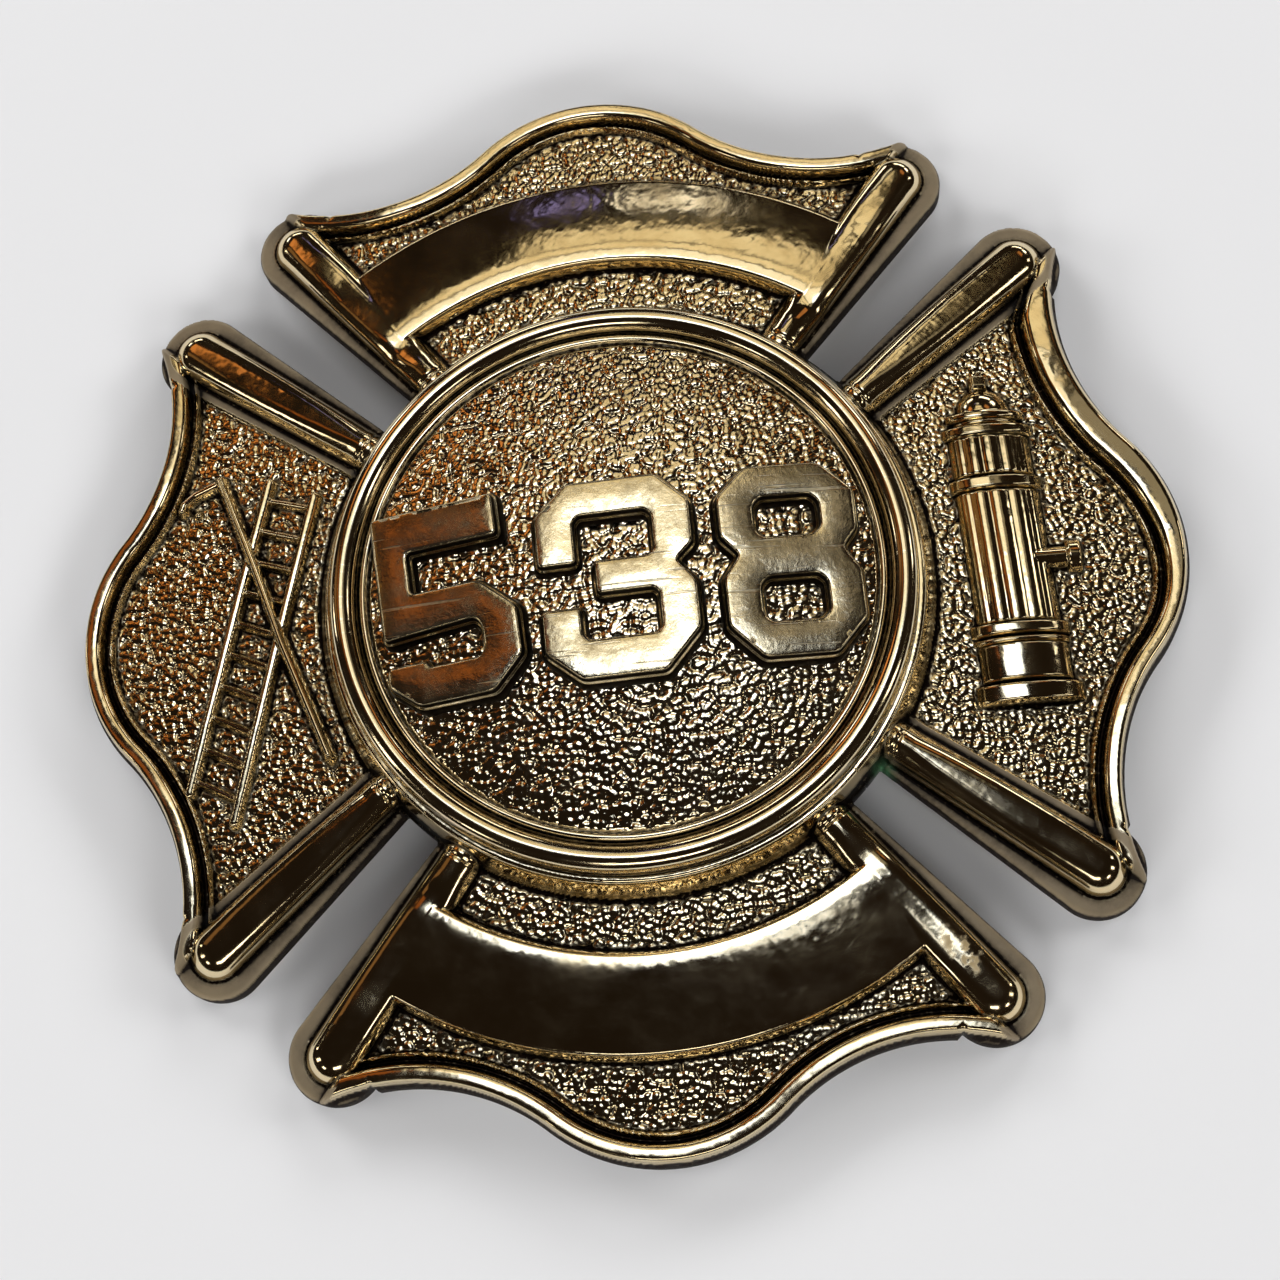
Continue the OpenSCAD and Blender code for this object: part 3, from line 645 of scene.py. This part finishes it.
def matte_of(p):
    """Where the metal is dull: the outer edge, and the flange beside the logs."""
    edge = unit(1.4 - p.edge / (BEAD_AT + 0.1)) * (p.edge > -3)
    flange = (p.off < 1.2) | (p.side < 0.02) & (p.edge > 0) & (not p.banner)
    return unit(np.maximum(edge, ease((p.log_d - p.log_r - 0.1) / 0.12) * flange) * (p.r > HUB_CLEAR))


def lobe_height(turn):
    """Height function of one lobe."""

    def height(x, y):
        p = measures(x, y, turn)
        z = p.level + 0.012 * uneven(p, size=2.5, seed=5)
        for step in (with_field, with_rim, with_log, with_figure, with_hub, worn):
            z = step(z, p)
        green, rust = stains(p.wx, p.wy)
        z = z + 0.02 * rust * uneven(p, size=0.22, seed=91, octaves=2)
        return z, {"matte": matte_of(p), "green": green, "rust": rust}

    return height


def build_cross():
    cell = 0.078
    box = (-22.6, 22.6, 10.6, 31.6)
    made = []
    for turn, side in enumerate(("top", "left", "bottom", "right")):
        name = "cross_lobe_" + side
        angle = turn * math.pi / 2
        made.append(relief_piece(name, lobe_inside, lobe_height(turn), lobe_under, box, cell, angle))
    return made


# Disc: a turned ring and a stippled dome
def turned(name, profile, n, wobble, cavity):
    """A closed solid of revolution from points (r, z) listed round its section."""
    m = len(profile)
    a = np.repeat((np.arange(n) * 2 * math.pi / n)[:, None], m, axis=1)
    r, z = np.tile(profile[:, 0], (n, 1)), np.tile(profile[:, 1], (n, 1))
    x, y = r * np.cos(a), r * np.sin(a)
    z = z + wobble * clouds(x, y, size=2.0, seed=31, octaves=3) * (z > HUB_Z + 0.5)
    verts = np.stack([x, y, z], 2).reshape(-1, 3)
    i, j = np.arange(n)[:, None], np.arange(m)[None, :]
    i2, j2 = (i + 1) % n, (j + 1) % m
    faces = np.stack([i * m + j, i2 * m + j, i2 * m + j2, i * m + j2], 2).reshape(-1, 4)
    return make_mesh(name, verts, faces, {"cavity": np.tile(cavity, n)}, sharp=60)


def arc_points(centre, width, height, start, end, count):
    """Points of an arc in a section, from one angle to another, in degrees."""
    angles = [math.radians(start + (end - start) * k / (count - 1)) for k in range(count)]
    return [(centre[0] + width * math.cos(t), centre[1] + height * math.sin(t)) for t in angles]


def build_ring():
    """Flange, round bead and, inside it, a fine bead where the dome begins."""
    base = HUB_Z + SEAT
    lip = HUB_Z + DOME_EDGE
    flange = [(13.2, base + 0.3), (DISC_R - 0.12, base), (DISC_R, base + 0.1), (DISC_R, base + 0.35)]
    bead_c = (RING_R + 0.1, HUB_Z + RING_H - RING_BEAD)
    section = flange + arc_points(bead_c, RING_BEAD, RING_BEAD, -38, 180, 25)
    section += [(14.55, lip + 0.1), (14.5, lip - 0.06), (14.44, lip - 0.02)]
    section += arc_points((14.22, lip + 0.06), 0.2, 0.17, 0, 180, 9)
    section += [(13.98, lip - 0.08), (13.8, lip - 0.1), (13.4, lip - 0.25)]
    section = np.array(section[::-1])
    # The groove inside the bead and the ring's foot on the hub are darkened by the metal's shader: dirt and
    # painted shade
    inner_groove = np.clip((lip + 0.25 - section[:, 1]) / 0.25, 0, 1) * (section[:, 0] < 14.7) * 0.9
    foot = np.clip((base + 0.55 - section[:, 1]) / 0.5, 0, 1)
    steps = 900
    return turned("disc_ring", section, steps, 0.01, np.maximum(inner_groove, foot))


def dome_z(x, y):
    return BALL_Z + np.sqrt(np.maximum(BALL_R ** 2 - x * x - y * y, 1))


def dome_inside(x, y):
    return DOME_R + 0.02 - np.hypot(x, y)


def dome_under(x, y):
    return dome_z(x, y) - DOME_T


def dome_height(x, y):
    """The dome with its stipple, which ends at a narrow sunk border."""
    r = np.hypot(x, y)
    grain = pebbles(x, y, pitch=0.44, seed=3)
    z = dome_z(x, y) + GRAIN * (grain - GRAIN_MEAN) * ease((DOME_R - 0.05 - r) / 0.3)
    return z - 0.1 * ease((r - DOME_R + 0.25) / 0.2), {"matte": 0 * x}


def build_disc():
    half = DOME_R + 0.1
    cell = 0.084
    box = (-half, half, -half, half)
    return [build_ring(), relief_piece("disc_dome", dome_inside, dome_height, dome_under, box, cell)]


# Numerals. Outlines are in millimetres from the middle of each one
FIVE = [(-3.75, 5.45), (3.05, 5.5), (3.2, 5.3), (3.2, 3.15), (-1.95, 3.15), (-1.95, 0.75), (1.75, 0.75),
        (3.75, -1.15), (3.75, -3.75), (1.95, -5.5), (-2.2, -5.5), (-3.75, -4.2), (-3.75, -3.15),
        (-1.6, -3.15), (-1.45, -3.5), (1.35, -3.5), (1.75, -3.05), (1.75, -1.75), (1.35, -1.25),
        (-3.75, -1.6)]
THREE = [(-4.2, 0.95), (-4.2, 3.75), (-2.35, 5.5), (2.5, 5.5), (4.2, 3.8), (4.2, 1.45), (3.2, 0.55),
         (4.2, -0.75), (4.2, -3.3), (2.15, -5.5), (-2.3, -5.5), (-4.2, -3.85), (-4.2, -1.55),
         (-2.15, -1.55), (-2.15, -3.05), (-1.85, -3.4), (1.85, -3.4), (2.15, -3.05), (2.15, -1.15),
         (1.85, -0.85), (-1.15, -0.85), (-1.15, 0.95), (1.75, 0.95), (2.1, 1.25), (2.1, 3.25),
         (1.75, 3.6), (-1.85, 3.6), (-2.15, 3.25), (-2.15, 0.95)]
EIGHT = [(-2.0, 5.35), (2.0, 5.35), (3.7, 3.7), (3.7, 1.5), (2.85, 0.45), (3.7, -0.85), (3.7, -3.5),
         (1.95, -5.35), (-1.95, -5.35), (-3.7, -3.5), (-3.7, -0.85), (-2.75, 0.45), (-3.7, 1.5),
         (-3.7, 3.7)]
EIGHT_UPPER = [(-1.35, 1.3), (1.35, 1.3), (1.8, 1.75), (1.8, 3.15), (1.35, 3.6), (-1.35, 3.6),
               (-1.8, 3.15), (-1.8, 1.75)]
EIGHT_LOWER = [(-1.35, -3.45), (1.35, -3.45), (1.8, -3.0), (1.8, -1.35), (1.35, -0.9), (-1.35, -0.9),
               (-1.8, -1.35), (-1.8, -3.0)]
# Rows of a numeral's side from the face's edge to the foot: outward push, height, and darkness of dirt and
# painted shade. The last row has no height of its own, because it lies on the dome
SIDE_ROWS = [(-0.13, DIGIT_T, 0), (-0.075, DIGIT_T - 0.012, 0), (-0.03, DIGIT_T - 0.05, 0.3),
             (0.0, DIGIT_T - 0.12, 1), (0.05, DIGIT_T - 0.38, 1), (0.09, 0.50, 0.1), (0.14, 0.45, 0.1),
             (0.18, 0.36, 1), (0.26, 0.2, 1), (0.32, None, 1)]
CORNER_R, SIDE_STEP = 0.28, 0.22  # rounding of the corners, greatest step along an outline
FACE_STEP, FACE_HALF = 0.2, (4.6, 6)  # grid of points inside a face: distance, half width and height
FACE_CROWN = 0.035  # how far a face rises towards the middle of its strokes
DOME_LIFT = 0.03  # how far the foot lies above the dome's ball


def ring_area(loop):
    x, y = loop[:, 0], loop[:, 1]
    return 0.5 * np.sum(x * np.roll(y, -1) - y * np.roll(x, -1))


def soften(loop, radius, n=3):
    """Rounds each corner of a closed outline a little."""
    out = []
    for k in range(len(loop)):
        p, a, b = loop[k], loop[k - 1], loop[(k + 1) % len(loop)]
        la, lb = np.hypot(*(a - p)), np.hypot(*(b - p))
        cut = min(radius, 0.4 * la, 0.4 * lb)
        pa, pb = p + (a - p) / la * cut, p + (b - p) / lb * cut
        for i in range(n + 1):
            t = i / n
            out.append((1 - t) ** 2 * pa + 2 * t * (1 - t) * p + t * t * pb)
    return np.array(out)


def spaced(loop, step):
    """The same outline with long sides cut into short ones."""
    out = []
    for k in range(len(loop)):
        p, q = loop[k], loop[(k + 1) % len(loop)]
        m = max(1, int(math.ceil(np.hypot(*(q - p)) / step)))
        out += [p + (q - p) * i / m for i in range(m)]
    return np.array(out)


def pushed(loop, d):
    """The outline moved outwards by d, material on its left."""
    fwd = np.roll(loop, -1, 0) - loop
    fwd /= np.maximum(np.hypot(fwd[:, 0], fwd[:, 1]), 1e-9)[:, None]
    nrm = np.stack([fwd[:, 1], -fwd[:, 0]], 1)
    m = nrm + np.roll(nrm, 1, 0)
    m /= np.maximum(np.hypot(m[:, 0], m[:, 1]), 1e-9)[:, None]
    cos = np.maximum(np.sum(m * nrm, 1), 0.6)
    return loop + m * (d / cos)[:, None]


def inside_loops(loops, pts):
    """Whether each point lies inside the outlines, by counting the sides to its right."""
    odd = np.zeros(len(pts), bool)
    for loop in loops:
        for (x1, y1), (x2, y2) in zip(loop, np.roll(loop, -1, 0)):
            hit = (y1 > pts[:, 1]) != (y2 > pts[:, 1])
            with np.errstate(divide="ignore", invalid="ignore"):
                at = (x2 - x1) * (pts[:, 1] - y1) / (y2 - y1) + x1
            odd ^= hit & (pts[:, 0] < at)
    return odd


def numeral_sides(loops):
    """Points, faces and darkness of a numeral's sides (dirt and painted shade), and each outline's first
    point and number of points.
    """
    verts, faces, grime_and_shade, spans = [], [], [], []
    for loop in loops:
        first, n = len(verts), len(loop)
        for push, z, row_grime_and_shade in SIDE_ROWS:
            for x, y in pushed(loop, push):
                on_dome = math.sqrt(BALL_R ** 2 - x ** 2 - y ** 2) - BALL_R + DOME_LIFT
                verts.append((x, y, on_dome if z is None else z))
                grime_and_shade.append(row_grime_and_shade)
        for k in range(len(SIDE_ROWS) - 1):
            for i in range(n):
                a, b = first + k * n + i, first + k * n + (i + 1) % n
                faces.append((a, a + n, b + n, b))
        spans.append((first, n))
    return verts, faces, grime_and_shade, spans


def face_points(loops):
    """Points of a grid well inside the outlines, each raised a little with its distance from them."""
    gx, gy = np.meshgrid(*(np.arange(-half, half, FACE_STEP) for half in FACE_HALF))
    grid = np.stack([gx.ravel(), gy.ravel()], 1)
    edge = np.concatenate(loops)
    away = np.min(np.hypot(grid[:, None, 0] - edge[None, :, 0], grid[:, None, 1] - edge[None, :, 1]), 1)
    keep = inside_loops(loops, grid) & (away > 0.12)
    return [(x, y, DIGIT_T + FACE_CROWN * (1 - math.exp(-(d / 0.5) ** 1.5)))
            for (x, y), d in zip(grid[keep], away[keep])]


def numeral_cap(verts, spans, row, up):
    """Triangles inside one row of the outlines. The face, which is up, gets points of its own in verts."""
    loops = [np.array([verts[first + row * n + i][:2] for i in range(n)]) for first, n in spans]
    ids, edges = [], []
    for first, n in spans:
        edges += [(len(ids) + i, len(ids) + (i + 1) % n) for i in range(n)]
        ids += [first + row * n + i for i in range(n)]
    if up:
        inner = face_points(loops)
        ids += range(len(verts), len(verts) + len(inner))
        verts += inner
    made = delaunay_2d_cdt([Vector(verts[i][:2]) for i in ids], edges, [], 0, 1e-7)
    orig = [o[0] if o else -1 for o in made[3]]
    tris = [f for f in made[2] if all(orig[i] >= 0 for i in f)]
    centres = np.array([tuple(sum((made[0][i] for i in f), Vector((0, 0))) / len(f)) for f in tris])
    rings = np.array([[ids[orig[i]] for i in f] for f in tris])[inside_loops(loops, centres)]
    wrong = (areas(np.array(verts)[:, :2], rings) > 0) != up
    rings[wrong] = rings[wrong][:, ::-1]
    return rings.tolist()


def numeral_place(place):
    """Where a numeral sits on the dome: -1 left, 0 in the middle, 1 right."""
    row = Matrix.Rotation(math.radians(ROW_TURN), 4, "Z") @ Matrix.Translation((0, 0, BALL_Z))
    roll = Matrix.Rotation(math.asin(place * PITCH / BALL_R), 4, "Y")
    drop = Matrix.Rotation(math.asin(ROW_DROP / BALL_R), 4, "X")
    own_turn = Matrix.Rotation(math.radians(LEFT_TURN if place < 0 else 0), 4, "Z")
    return row @ roll @ drop @ Matrix.Translation((0, 0, BALL_R)) @ own_turn


def numeral(name, loops, place, seed):
    """An applied numeral: flat face, small rounded edge, sides that flare to the dome."""
    loops = [np.asarray(l, dtype=float) for l in loops]
    loops = [l if (ring_area(l) > 0) == (k == 0) else l[::-1] for k, l in enumerate(loops)]
    loops = [spaced(soften(l, CORNER_R), SIDE_STEP) for l in loops]
    verts, faces, grime_and_shade, spans = numeral_sides(loops)
    for row, up in ((0, True), (len(SIDE_ROWS) - 1, False)):
        faces += numeral_cap(verts, spans, row, up)
    v = np.array(verts)
    v[:, 2] += np.where(v[:, 2] > DIGIT_T - 0.2, 0.012 * clouds(v[:, 0], v[:, 1], 2.5, seed, 3), 0)
    at = numeral_place(place)
    v = np.array([tuple(at @ Vector(q)) for q in v])
    # The sides' dark rows, at the bevel and at the foot on the dome: dirt and painted shade
    cavity = np.zeros(len(v))
    cavity[:len(grime_and_shade)] = grime_and_shade
    return make_mesh(name, v, faces, {"cavity": cavity}, sharp=35)


def build_numerals():
    return [numeral("numeral_five", [FIVE], -1, 41), numeral("numeral_three", [THREE], 0, 43),
            numeral("numeral_eight", [EIGHT, EIGHT_UPPER, EIGHT_LOWER], 1, 47)]


# Materials. Colours are linear
NICKEL_BRASS = (0.82, 0.69, 0.445)
DISC_BRASS = (0.82, 0.70, 0.48)
DIGIT_BRASS = (0.84, 0.72, 0.48)
CLASP_METAL = (0.70, 0.66, 0.57)
DEEPER = (0.94, 0.88, 0.76)  # what the deeper patches keep of the metal's colour
TAUPE_PALE = (0.30, 0.235, 0.145)
TAUPE_DARK = (0.21, 0.165, 0.105)
BLOTCH = (0.36, 0.285, 0.15)
# Near-black of the dirt and painted shade in creases
SOOT_AND_SHADE = (0.010, 0.006, 0.004)
VERDIGRIS = (0.05, 0.16, 0.07)
OCHRE = (0.46, 0.34, 0.17)
FLOOR_WHITE = (0.86, 0.86, 0.87)
# Fine scratches run three ways: angle in radians, scale of the noise, level from which it is a scratch
SCRATCHES = [(0.7, 130, 0.66), (-0.95, 170, 0.68), (0.15, 110, 0.70)]


class Graph:
    """The shader nodes of one material."""

    def __init__(self, name):
        self.mat = bpy.data.materials.new(name)
        self.mat.use_nodes = True
        self.tree = self.mat.node_tree
        self.tree.nodes.clear()
        self.place = self.node("ShaderNodeTexCoord").outputs["Object"]

    def node(self, kind, **settings):
        made = self.tree.nodes.new(kind)
        for key, value in settings.items():
            setattr(made, key, value)
        return made

    def feed(self, socket, value):
        """Sets a socket to a number or colour, or links it to another node's output."""
        if isinstance(value, tuple):
            socket.default_value = (*value, 1)
        elif isinstance(value, (int, float)):
            socket.default_value = value
        else:
            self.tree.links.new(value, socket)

    def feed_all(self, made, **values):
        """Feeds sockets by their names, with an underscore for each space."""
        for key, value in values.items():
            self.feed(made.inputs[key.replace("_", " ")], value)

    def attribute(self, key):
        return self.node("ShaderNodeAttribute", attribute_name=key).outputs["Fac"]

    def noise(self, scale, detail, rough=0.55, distort=0.0):
        made = self.node("ShaderNodeTexNoise")
        self.feed_all(made, Vector=self.place, Scale=scale, Detail=detail)
        self.feed_all(made, Roughness=rough, Distortion=distort)
        return made.outputs["Fac"]

    def ramp(self, value, low, high, to_low=0.0, to_high=1.0):
        made = self.node("ShaderNodeMapRange")
        self.feed_all(made, Value=value, From_Min=low, From_Max=high, To_Min=to_low, To_Max=to_high)
        return made.outputs[0]

    def maths(self, operation, a, b):
        made = self.node("ShaderNodeMath", operation=operation, use_clamp=True)
        self.feed(made.inputs[0], a)
        self.feed(made.inputs[1], b)
        return made.outputs[0]

    def add(self, a, b):
        return self.maths("ADD", a, b)

    def times(self, a, b):
        return self.maths("MULTIPLY", a, b)

    def greater(self, a, b):
        return self.maths("MAXIMUM", a, b)

    def mix(self, share, a, b):
        """Colour a, with the given share of colour b. The colour sockets of the node are 6 and 7."""
        made = self.node("ShaderNodeMix", data_type="RGBA")
        for index, value in ((0, share), (6, a), (7, b)):
            self.feed(made.inputs[index], value)
        return made.outputs[2]

    def scratch(self, turn, scale, low):
        """Long fine lines in one direction."""
        mapping = self.node("ShaderNodeMapping")
        self.feed(mapping.inputs[0], self.place)
        mapping.inputs["Rotation"].default_value = (0, 0, turn)
        mapping.inputs["Scale"].default_value = (1, 26, 1)
        made = self.node("ShaderNodeTexNoise")
        self.feed_all(made, Vector=mapping.outputs[0], Scale=scale, Detail=2)
        return self.ramp(made.outputs["Fac"], low, low + 0.05)


def metal(name, base, rough, grime_and_shade=1.0, scratches=0.4, mottle=0.02, patina=0.0):
    """Worn metal: patches, taupe where it is matte, blotches by patina, and in its creases a near-black mix
    of dirt and painted shade, as strong as the call asks.
    """
    g = Graph(name)
    cavity, matte, green, rust = (g.attribute(key) for key in ("cavity", "matte", "green", "rust"))
    patch = g.noise(scale=420, detail=6, rough=0.6)
    fine = g.noise(scale=3800, detail=3, rough=0.6)

    deeper = tuple(min(1, c * k) for c, k in zip(base, DEEPER))
    colour = g.mix(g.ramp(patch, 0.35, 0.7), base, deeper)
    colour = g.mix(matte, colour, g.mix(g.ramp(patch, 0.3, 0.7), TAUPE_PALE, TAUPE_DARK))
    large = g.ramp(g.noise(scale=520, detail=5, rough=0.65, distort=0.4), 0.42, 0.62, 0.0, 0.75)
    small = g.ramp(g.noise(scale=2300, detail=4, rough=0.6), 0.5, 0.65, 0.0, 0.35)
    blotch = g.times(g.add(large, small), patina)
    colour = g.mix(blotch, colour, BLOTCH)
    # Dirt and painted shade: creases and hollows (the cavity mark) and random patches go near-black, and the
    # creases stand partly for shade
    dirt_and_shade = g.times(g.add(cavity, g.ramp(patch, 0.45, 0.75, 0.0, 0.15)), g.ramp(fine, 0.3, 0.6, 0.75, 1.0))
    dirt_and_shade = g.times(g.ramp(dirt_and_shade, 0.25, 0.85), grime_and_shade)
    colour = g.mix(dirt_and_shade, colour, SOOT_AND_SHADE)
    colour = g.mix(rust, g.mix(green, colour, VERDIGRIS), OCHRE)

    dull = g.greater(g.times(matte, 0.72), g.greater(green, g.times(rust, 0.6)))
    roughness = g.add(g.ramp(patch, 0.3, 0.7, rough - 0.04, rough + 0.06), g.times(matte, 0.36))
    roughness = g.add(roughness, g.times(g.greater(dirt_and_shade, g.greater(green, rust)), 0.3))
    roughness = g.add(roughness, g.times(blotch, 0.12))
    first, second, third = (g.scratch(*way) for way in SCRATCHES)
    lines = g.greater(g.greater(first, second), third)
    roughness = g.add(roughness, g.times(lines, 0.3 * scratches))

    relief = g.add(g.times(g.noise(scale=1500, detail=4, rough=0.6), 0.5), g.times(fine, 0.25))
    bump = g.node("ShaderNodeBump")
    g.feed_all(bump, Strength=scratches, Distance=mottle * MM,
               Height=g.maths("SUBTRACT", relief, g.times(lines, 0.25)))

    bsdf = g.node("ShaderNodeBsdfPrincipled")
    g.feed_all(bsdf, Base_Color=colour, Metallic=g.maths("SUBTRACT", 1.0, dull), Roughness=roughness,
               Normal=bump.outputs[0])
    g.feed(g.node("ShaderNodeOutputMaterial").inputs[0], bsdf.outputs[0])
    return g.mat


def dress(obs, mat, node):
    """Gives the pieces that stand for one solid their material, and makes them ride in its place."""
    for ob in obs:
        ob.data.materials.clear()
        ob.data.materials.append(mat)
        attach(ob, "root")
        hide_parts(node)


body_mat = metal("nickel_brass", NICKEL_BRASS, rough=0.10, grime_and_shade=1.0, scratches=0.03)
disc_mat = metal("nickel_brass_disc", DISC_BRASS, rough=0.10, grime_and_shade=1.0, scratches=0.2)
digit_mat = metal("numeral_metal", DIGIT_BRASS, rough=0.13, grime_and_shade=1.15, scratches=0.6, mottle=0.05,
                  patina=0.85)
clasp_mat = metal("clasp_metal", CLASP_METAL, rough=0.3, grime_and_shade=0.4, scratches=0.3)

dress(build_cross(), body_mat, "cross_body")
dress(build_disc(), disc_mat, "center_disc")
for ob, node_name in zip(build_numerals(), ("numeral_5", "numeral_3", "numeral_8")):
    dress([ob], digit_mat, node_name)
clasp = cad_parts["pin_clasp"]
clasp.data.materials.clear()
clasp.data.materials.append(clasp_mat)

# Stage, in millimetres. Directions are as seen from the badge
FLOOR_SIZE = 1600
FLOOR_Z = -0.02
LIGHT_FAR, ROUND_H = 400, 90  # distance of every light from the badge, height of each low soft box
WARM = (1.0, 0.97, 0.92)
CREAM = (1.0, 0.96, 0.88)
PEACH = (1.0, 0.94, 0.84)
STRAW = (1.0, 0.87, 0.60)
# Soft boxes low all round light the floor, and the metal doesn't mirror them: azimuth and elevation in
# degrees, width, radiance
ROUND = [(18, 22, 220, 10.9), (70, 20, 240, 10.3), (128, 24, 220, 10.8), (186, 20, 220, 10.3),
         (246, 22, 240, 10.6), (304, 24, 220, 11.1)]
# Panels that the metal mirrors: direction's x and y, half width and half height as shares of the
# distance, radiance, colour
PANELS = [
    ("key_low", 0.025, 0.16, 0.21, 0.10, 2.5, (0.82, 0.94, 1.20)),
    ("core", 0.02, 0.17, 0.10, 0.055, 5.0, (0.90, 0.96, 1.10)),
    ("base", 0.01, 0.015, 0.13, 0.03, 1.5, (0.86, 0.95, 1.15)),
    ("key_up", -0.02, 0.33, 0.21, 0.09, 1.25, (1.0, 0.95, 0.82)),
    ("khaki", 0.30, 0.33, 0.08, 0.09, 0.27, (1.0, 0.90, 0.70)),
    ("veil", 0.01, 0.50, 0.22, 0.065, 1.0, STRAW),
    ("veil_up", 0.02, 0.625, 0.15, 0.06, 0.95, STRAW),
    ("copper", -0.39, 0.30, 0.06, 0.13, 0.24, (1.0, 0.28, 0.045)),
    ("ember", -0.46, 0.58, 0.13, 0.11, 0.75, (1.0, 0.38, 0.10)),
    ("glow", -0.68, 0.34, 0.08, 0.16, 0.20, (1.0, 0.52, 0.20)),
    ("amber", 0.42, 0.60, 0.11, 0.08, 0.42, (1.0, 0.40, 0.12)),
    ("violet", -0.10, 0.755, 0.03, 0.018, 0.8, (0.36, 0.34, 1.0)),
    ("silver", 0.03, 0.75, 0.06, 0.025, 1.3, (1.0, 0.98, 0.95)),
    ("crown_left", -0.30, 0.91, 0.15, 0.05, 3.6, WARM),
    ("crown_right", 0.34, 0.90, 0.19, 0.05, 3.6, WARM),
    ("low", -0.03, -0.74, 0.20, 0.09, 3.6, WARM),
    ("right_up", 0.84, 0.30, 0.05, 0.08, 3.2, CREAM),
    ("right_down", 0.82, -0.16, 0.06, 0.14, 3.0, CREAM),
    ("left_up", -0.88, 0.26, 0.04, 0.07, 3.2, PEACH),
    ("left_down", -0.85, -0.20, 0.06, 0.16, 3.0, PEACH),
    ("upper_right", 0.62, 0.70, 0.09, 0.07, 3.6, WARM),
    ("upper_left", -0.60, 0.74, 0.08, 0.06, 3.6, (0.90, 0.94, 1.0)),
    ("lower_right", 0.60, -0.62, 0.10, 0.06, 3.8, (1.0, 0.96, 0.9)),
    ("lower_left", -0.66, -0.58, 0.07, 0.06, 3.6, (1.0, 0.96, 0.9))]
WORLD_COLOR = (0.012, 0.008, 0.005, 1)
FRAME_PX, FOCAL_PX = 1280, 2318  # side of the picture and focal length, in the picture's pixels
SENSOR_W = 36.0
CAMERA_AT = (9.16, -39.93, 123.85)
CAMERA_VIEW = (-0.0672, 0.2920, -0.9541)
CAMERA_UP = (0.1031, 0.9531, 0.2844)


def build_floor():
    me = bpy.data.meshes.new("floor")
    w = FLOOR_SIZE / 2 * MM
    me.from_pydata([(-w, -w, 0), (w, -w, 0), (w, w, 0), (-w, w, 0)], [], [(0, 1, 2, 3)])
    mat = bpy.data.materials.new("floor_white")
    mat.use_nodes = True
    bsdf = mat.node_tree.nodes["Principled BSDF"]
    bsdf.inputs["Base Color"].default_value = (*FLOOR_WHITE, 1)
    bsdf.inputs["Roughness"].default_value = 0.9
    me.materials.append(mat)
    ob = bpy.data.objects.new("floor", me)
    scene.collection.objects.link(ob)
    ob.matrix_world = Matrix.Translation((0, 0, FLOOR_Z * MM))


def softbox(name, toward, size, light, color=(1, 1, 1)):
    """A soft light seen from the badge in the given direction, of that radiance."""
    data = bpy.data.lights.new(name, "AREA")
    data.shape = "RECTANGLE"
    data.size, data.size_y = size[0] * MM, size[1] * MM
    data.energy = light * math.pi * size[0] * size[1] * MM * MM
    data.color = color
    ob = bpy.data.objects.new(name, data)
    scene.collection.objects.link(ob)
    way = Vector(toward).normalized()
    turn = way.to_track_quat("Z", "Y").to_matrix().to_4x4()
    ob.matrix_world = Matrix.Translation(way * LIGHT_FAR * MM) @ turn
    return ob


def polar(az, el):
    """Direction from azimuth (0 is +X, 90 is +Y) and elevation, in degrees."""
    a, e = math.radians(az), math.radians(el)
    return (math.cos(a) * math.cos(e), math.sin(a) * math.cos(e), math.sin(e))


def build_lights():
    for k, (az, el, w, light) in enumerate(ROUND):
        softbox("round_%d" % k, polar(az, el), (w, ROUND_H), light).visible_glossy = False
    for name, x, y, half_w, half_h, light, color in PANELS:
        toward = (x, y, math.sqrt(1 - x * x - y * y))
        size = (half_w * 2 * LIGHT_FAR, half_h * 2 * LIGHT_FAR)
        softbox("panel_" + name, toward, size, light, color).visible_diffuse = False
    world = bpy.data.worlds.new("studio")
    world.use_nodes = True
    background = world.node_tree.nodes["Background"]
    background.inputs[0].default_value = WORLD_COLOR
    background.inputs[1].default_value = 1.0
    scene.world = world


def build_camera():
    data = bpy.data.cameras.new("camera")
    data.sensor_width = SENSOR_W
    data.lens = FOCAL_PX / FRAME_PX * SENSOR_W
    data.clip_start, data.clip_end = 0.005, 5
    ob = bpy.data.objects.new("camera", data)
    scene.collection.objects.link(ob)
    view = Vector(CAMERA_VIEW).normalized()
    right = view.cross(Vector(CAMERA_UP)).normalized()
    up = right.cross(view).normalized()
    turn = Matrix((right, up, -view)).transposed().to_4x4()
    ob.matrix_world = Matrix.Translation(Vector(CAMERA_AT) * MM) @ turn
    scene.camera = ob


build_floor()
build_lights()
build_camera()
scene.view_settings.view_transform = "Standard"
